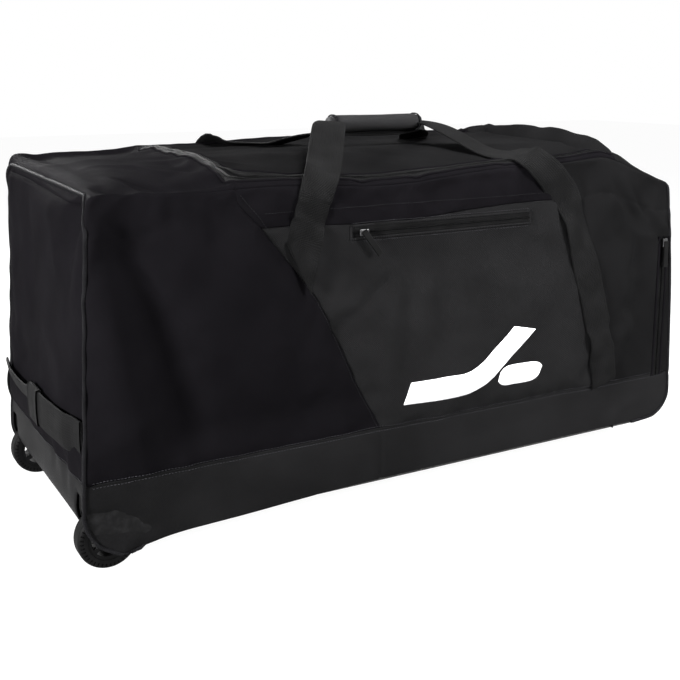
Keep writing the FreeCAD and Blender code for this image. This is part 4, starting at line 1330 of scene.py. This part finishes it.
def add_end_handles():
    """The grab handle with its keeper over the wheels, and the padded haul handle on the far end."""
    grab = bowed("grab_handle", -1, 4.0, 3.0)
    width = [STRAP_W - 2 - 22 * float(ease(-10, 60, p.y)) for p, _ in grab]
    lean = [Vector((-1, 0, -0.35 * float(ease(-10, 60, p.y)))).normalized() for p, _ in grab]
    piece = band("grab_webbing", places(grab), lean, width, 3.4, 1.2)
    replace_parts(dress(piece, "webbing"), "grab_handle")
    keeper = [pair for pair in grab if abs(pair[0].y + 14) < 30]
    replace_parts(dress(laid_band("grab_sleeve", keeper, STRAP_W + 2, 7.5, 1.5), "webbing"), "grab_keeper")
    haul = bowed("haul_handle", 1, 22.0, 4.0)
    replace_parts(dress(laid_band("haul_webbing", haul, STRAP_W - 1, 3.2, 0.5), "webbing"), "haul_handle")
    sleeve = [pair for pair in haul if abs(pair[0].y) < 56]
    grip = dress(laid_band("haul_sleeve", sleeve, STRAP_W + 5, 9.0, 3.0), "grip_fabric")
    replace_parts(grip, "haul_grip")


def add_corner_loop():
    """The small loop of webbing on the back wall, over the far wheel."""
    low, high = in_mm("corner_loop")
    middle = (low + high) / 2
    turns = np.linspace(math.radians(70), math.radians(290), 15)
    bow = [Vector((high.x - 6 + 24 * math.cos(t), middle.y, middle.z + 40 * math.sin(t))) for t in turns]
    sewn_x = high.x + 8
    first = Vector((sewn_x, middle.y, bow[0].z + 2))
    last = Vector((sewn_x, middle.y, bow[-1].z - 2))
    path = spaced(smoothed([first] + bow + [last], 2), 4.0)
    loop = band("corner_webbing", path, [Vector((0, 1, 0))] * len(path), 11.0, 2.6)
    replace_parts(dress(loop, "webbing"), "corner_loop")


# ---- patch -------------------------------------------------------------------------------
def patch_strip(name, low_edge, high_edge, count):
    """A printed shape between two edges, laid on the pocket."""
    rows = 5
    flat = []
    for t in [k / count for k in range(count + 1)]:
        low, high = low_edge(t), high_edge(t)
        for share in [r / rows for r in range(rows + 1)]:
            flat.append((low[0] + (high[0] - low[0]) * share, low[1] + (high[1] - low[1]) * share))
    points = [on_wall(-1, x, z, 0.7)[0] for x, z in flat]
    corners = [k * (rows + 1) + r for k in range(count) for r in range(rows)]
    faces = [[a, a + rows + 1, a + rows + 2, a + 1] for a in corners]
    uvs = [[(flat[i][0] * MM, flat[i][1] * MM) for i in face] for face in faces]
    return mesh_object(name, points, faces, uvs)


def along_line(stops):
    """A function from 0..1 to a point on the polyline through the stops."""
    line = spaced(smoothed([Vector((x, z, 0)) for x, z in stops], 2), 1.0)
    return lambda t: tuple(line[round(t * (len(line) - 1))])[:2]


STICK_LOW = ((-46, 152), (20, 150), (96, 151), (158, 206), (194, 236))      # x, z along its heel
STICK_HIGH = ((-34, 184), (20, 184), (78, 184), (128, 226), (150, 246))     # and along its upper edge


def add_patch():
    """Generic print: a slanted stick with its blade, and a puck."""
    stick = patch_strip("patch_stick", along_line(STICK_LOW), along_line(STICK_HIGH), 60)
    puck = patch_strip("patch_puck", lambda t: (126 + 80 * t, 152 + 9 * (2 * t - 1) ** 6),
                       lambda t: (130 + 80 * t, 184 - 9 * (2 * t - 1) ** 6), 24)
    for piece in (stick, puck):
        thickness = piece.modifiers.new("print", "SOLIDIFY")
        thickness.thickness = 0.5 * MM
        dress(piece, "emblem_white")
    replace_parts(stick, "emblem")


# ---- stage -------------------------------------------------------------------------------
HORIZON = 1.0             # the world's strength at eye level
OVERHEAD = 0.02           # and overhead
FLOOR_GLOW = 0.96
FLOOR_REACH = 9000.0
LIGHTS = (                # name, place, target, size, power
    ("key_left", (-2.4, -0.85, 0.85), (-0.4, -0.2, 0.28), (0.5, 0.5), 195),
    ("top", (0.6, -0.2, 1.7), (0.2, 0, 0.4), (0.9, 0.7), 66),
    ("front_right", (1.0, -1.35, 0.9), (0.25, -0.2, 0.3), (0.5, 0.5), 60),
    ("back_fill", (-0.6, 2.2, 1.4), (0, 0.2, 0.3), (1.2, 1.0), 130),
)


def add_world():
    """White at eye level and dark overhead, so that the lamps shape the folds."""
    world = bpy.data.worlds.new("studio")
    world.use_nodes = True
    nodes = world.node_tree.nodes
    links = world.node_tree.links
    facing = nodes.new("ShaderNodeTexCoord")
    parts = nodes.new("ShaderNodeSeparateXYZ")
    fade = nodes.new("ShaderNodeMapRange")
    links.new(facing.outputs["Generated"], parts.inputs[0])
    links.new(parts.outputs["Z"], fade.inputs["Value"])
    for socket, value in (("From Min", 0.16), ("From Max", 0.34), ("To Min", HORIZON), ("To Max", OVERHEAD)):
        fade.inputs[socket].default_value = value
    links.new(fade.outputs[0], nodes["Background"].inputs["Strength"])
    nodes["Background"].inputs["Color"].default_value = (1, 1, 1, 1)
    bpy.context.scene.world = world


def add_floor():
    """Pale floor that runs out of sight."""
    corners = [(x * FLOOR_REACH, y * FLOOR_REACH, 0) for x, y in ((-1, -1), (1, -1), (1, 1), (-1, 1))]
    floor = mesh_object("floor", corners, [[0, 1, 2, 3]])
    pale = Look("pale_floor")
    pale.colour(pale.noise(2.0), (0.11, 0.11, 0.11), (0.13, 0.13, 0.13))
    pale.set(Roughness=0.9, Specular_IOR_Level=0.0, Emission_Color=(1, 1, 1, 1), Emission_Strength=FLOOR_GLOW)
    floor.data.materials.append(pale.material)


def add_lights():
    """Soft rectangles, each facing its target."""
    for name, place, target, size, power in LIGHTS:
        data = bpy.data.lights.new(name, "AREA")
        data.shape = "RECTANGLE"
        data.size, data.size_y = size
        data.energy = power
        light = bpy.data.objects.new(name, data)
        light.location = place
        light.rotation_mode = "QUATERNION"
        light.rotation_quaternion = (Vector(place) - Vector(target)).to_track_quat("Z", "Y")
        bpy.context.scene.collection.objects.link(light)


def add_camera():
    """Three-quarter view from the wheel end, a little above."""
    data = bpy.data.cameras.new("view")
    camera = bpy.data.objects.new("view", data)
    camera.location = (-0.821, -1.388, 0.624)
    camera.rotation_euler = (math.radians(90 - 10.72), 0, math.radians(-29.68))
    data.lens = 53.66
    data.sensor_width = 36.0
    data.shift_y = -0.1104
    data.clip_start = 0.01
    bpy.context.scene.collection.objects.link(camera)
    bpy.context.scene.camera = camera
    bpy.context.scene.view_settings.view_transform = "Standard"


dress_nodes()
add_panels()
add_welts()
add_seam_threads()
add_seam_lips()
add_main_zip()
add_pocket_zip()
add_end_zip()
add_carry_strap(-1, "front", FRONT_GRIP_Z, LEFT_LEG_END_Z, left_arch=17.0, tuck=63.0)
add_carry_strap(1, "back", BACK_GRIP_Z, SEAM_Z + 4, left_arch=0.0, tuck=0.0)
add_grip()
add_end_handles()
add_corner_loop()
add_patch()
add_floor()
add_lights()
add_world()
add_camera()
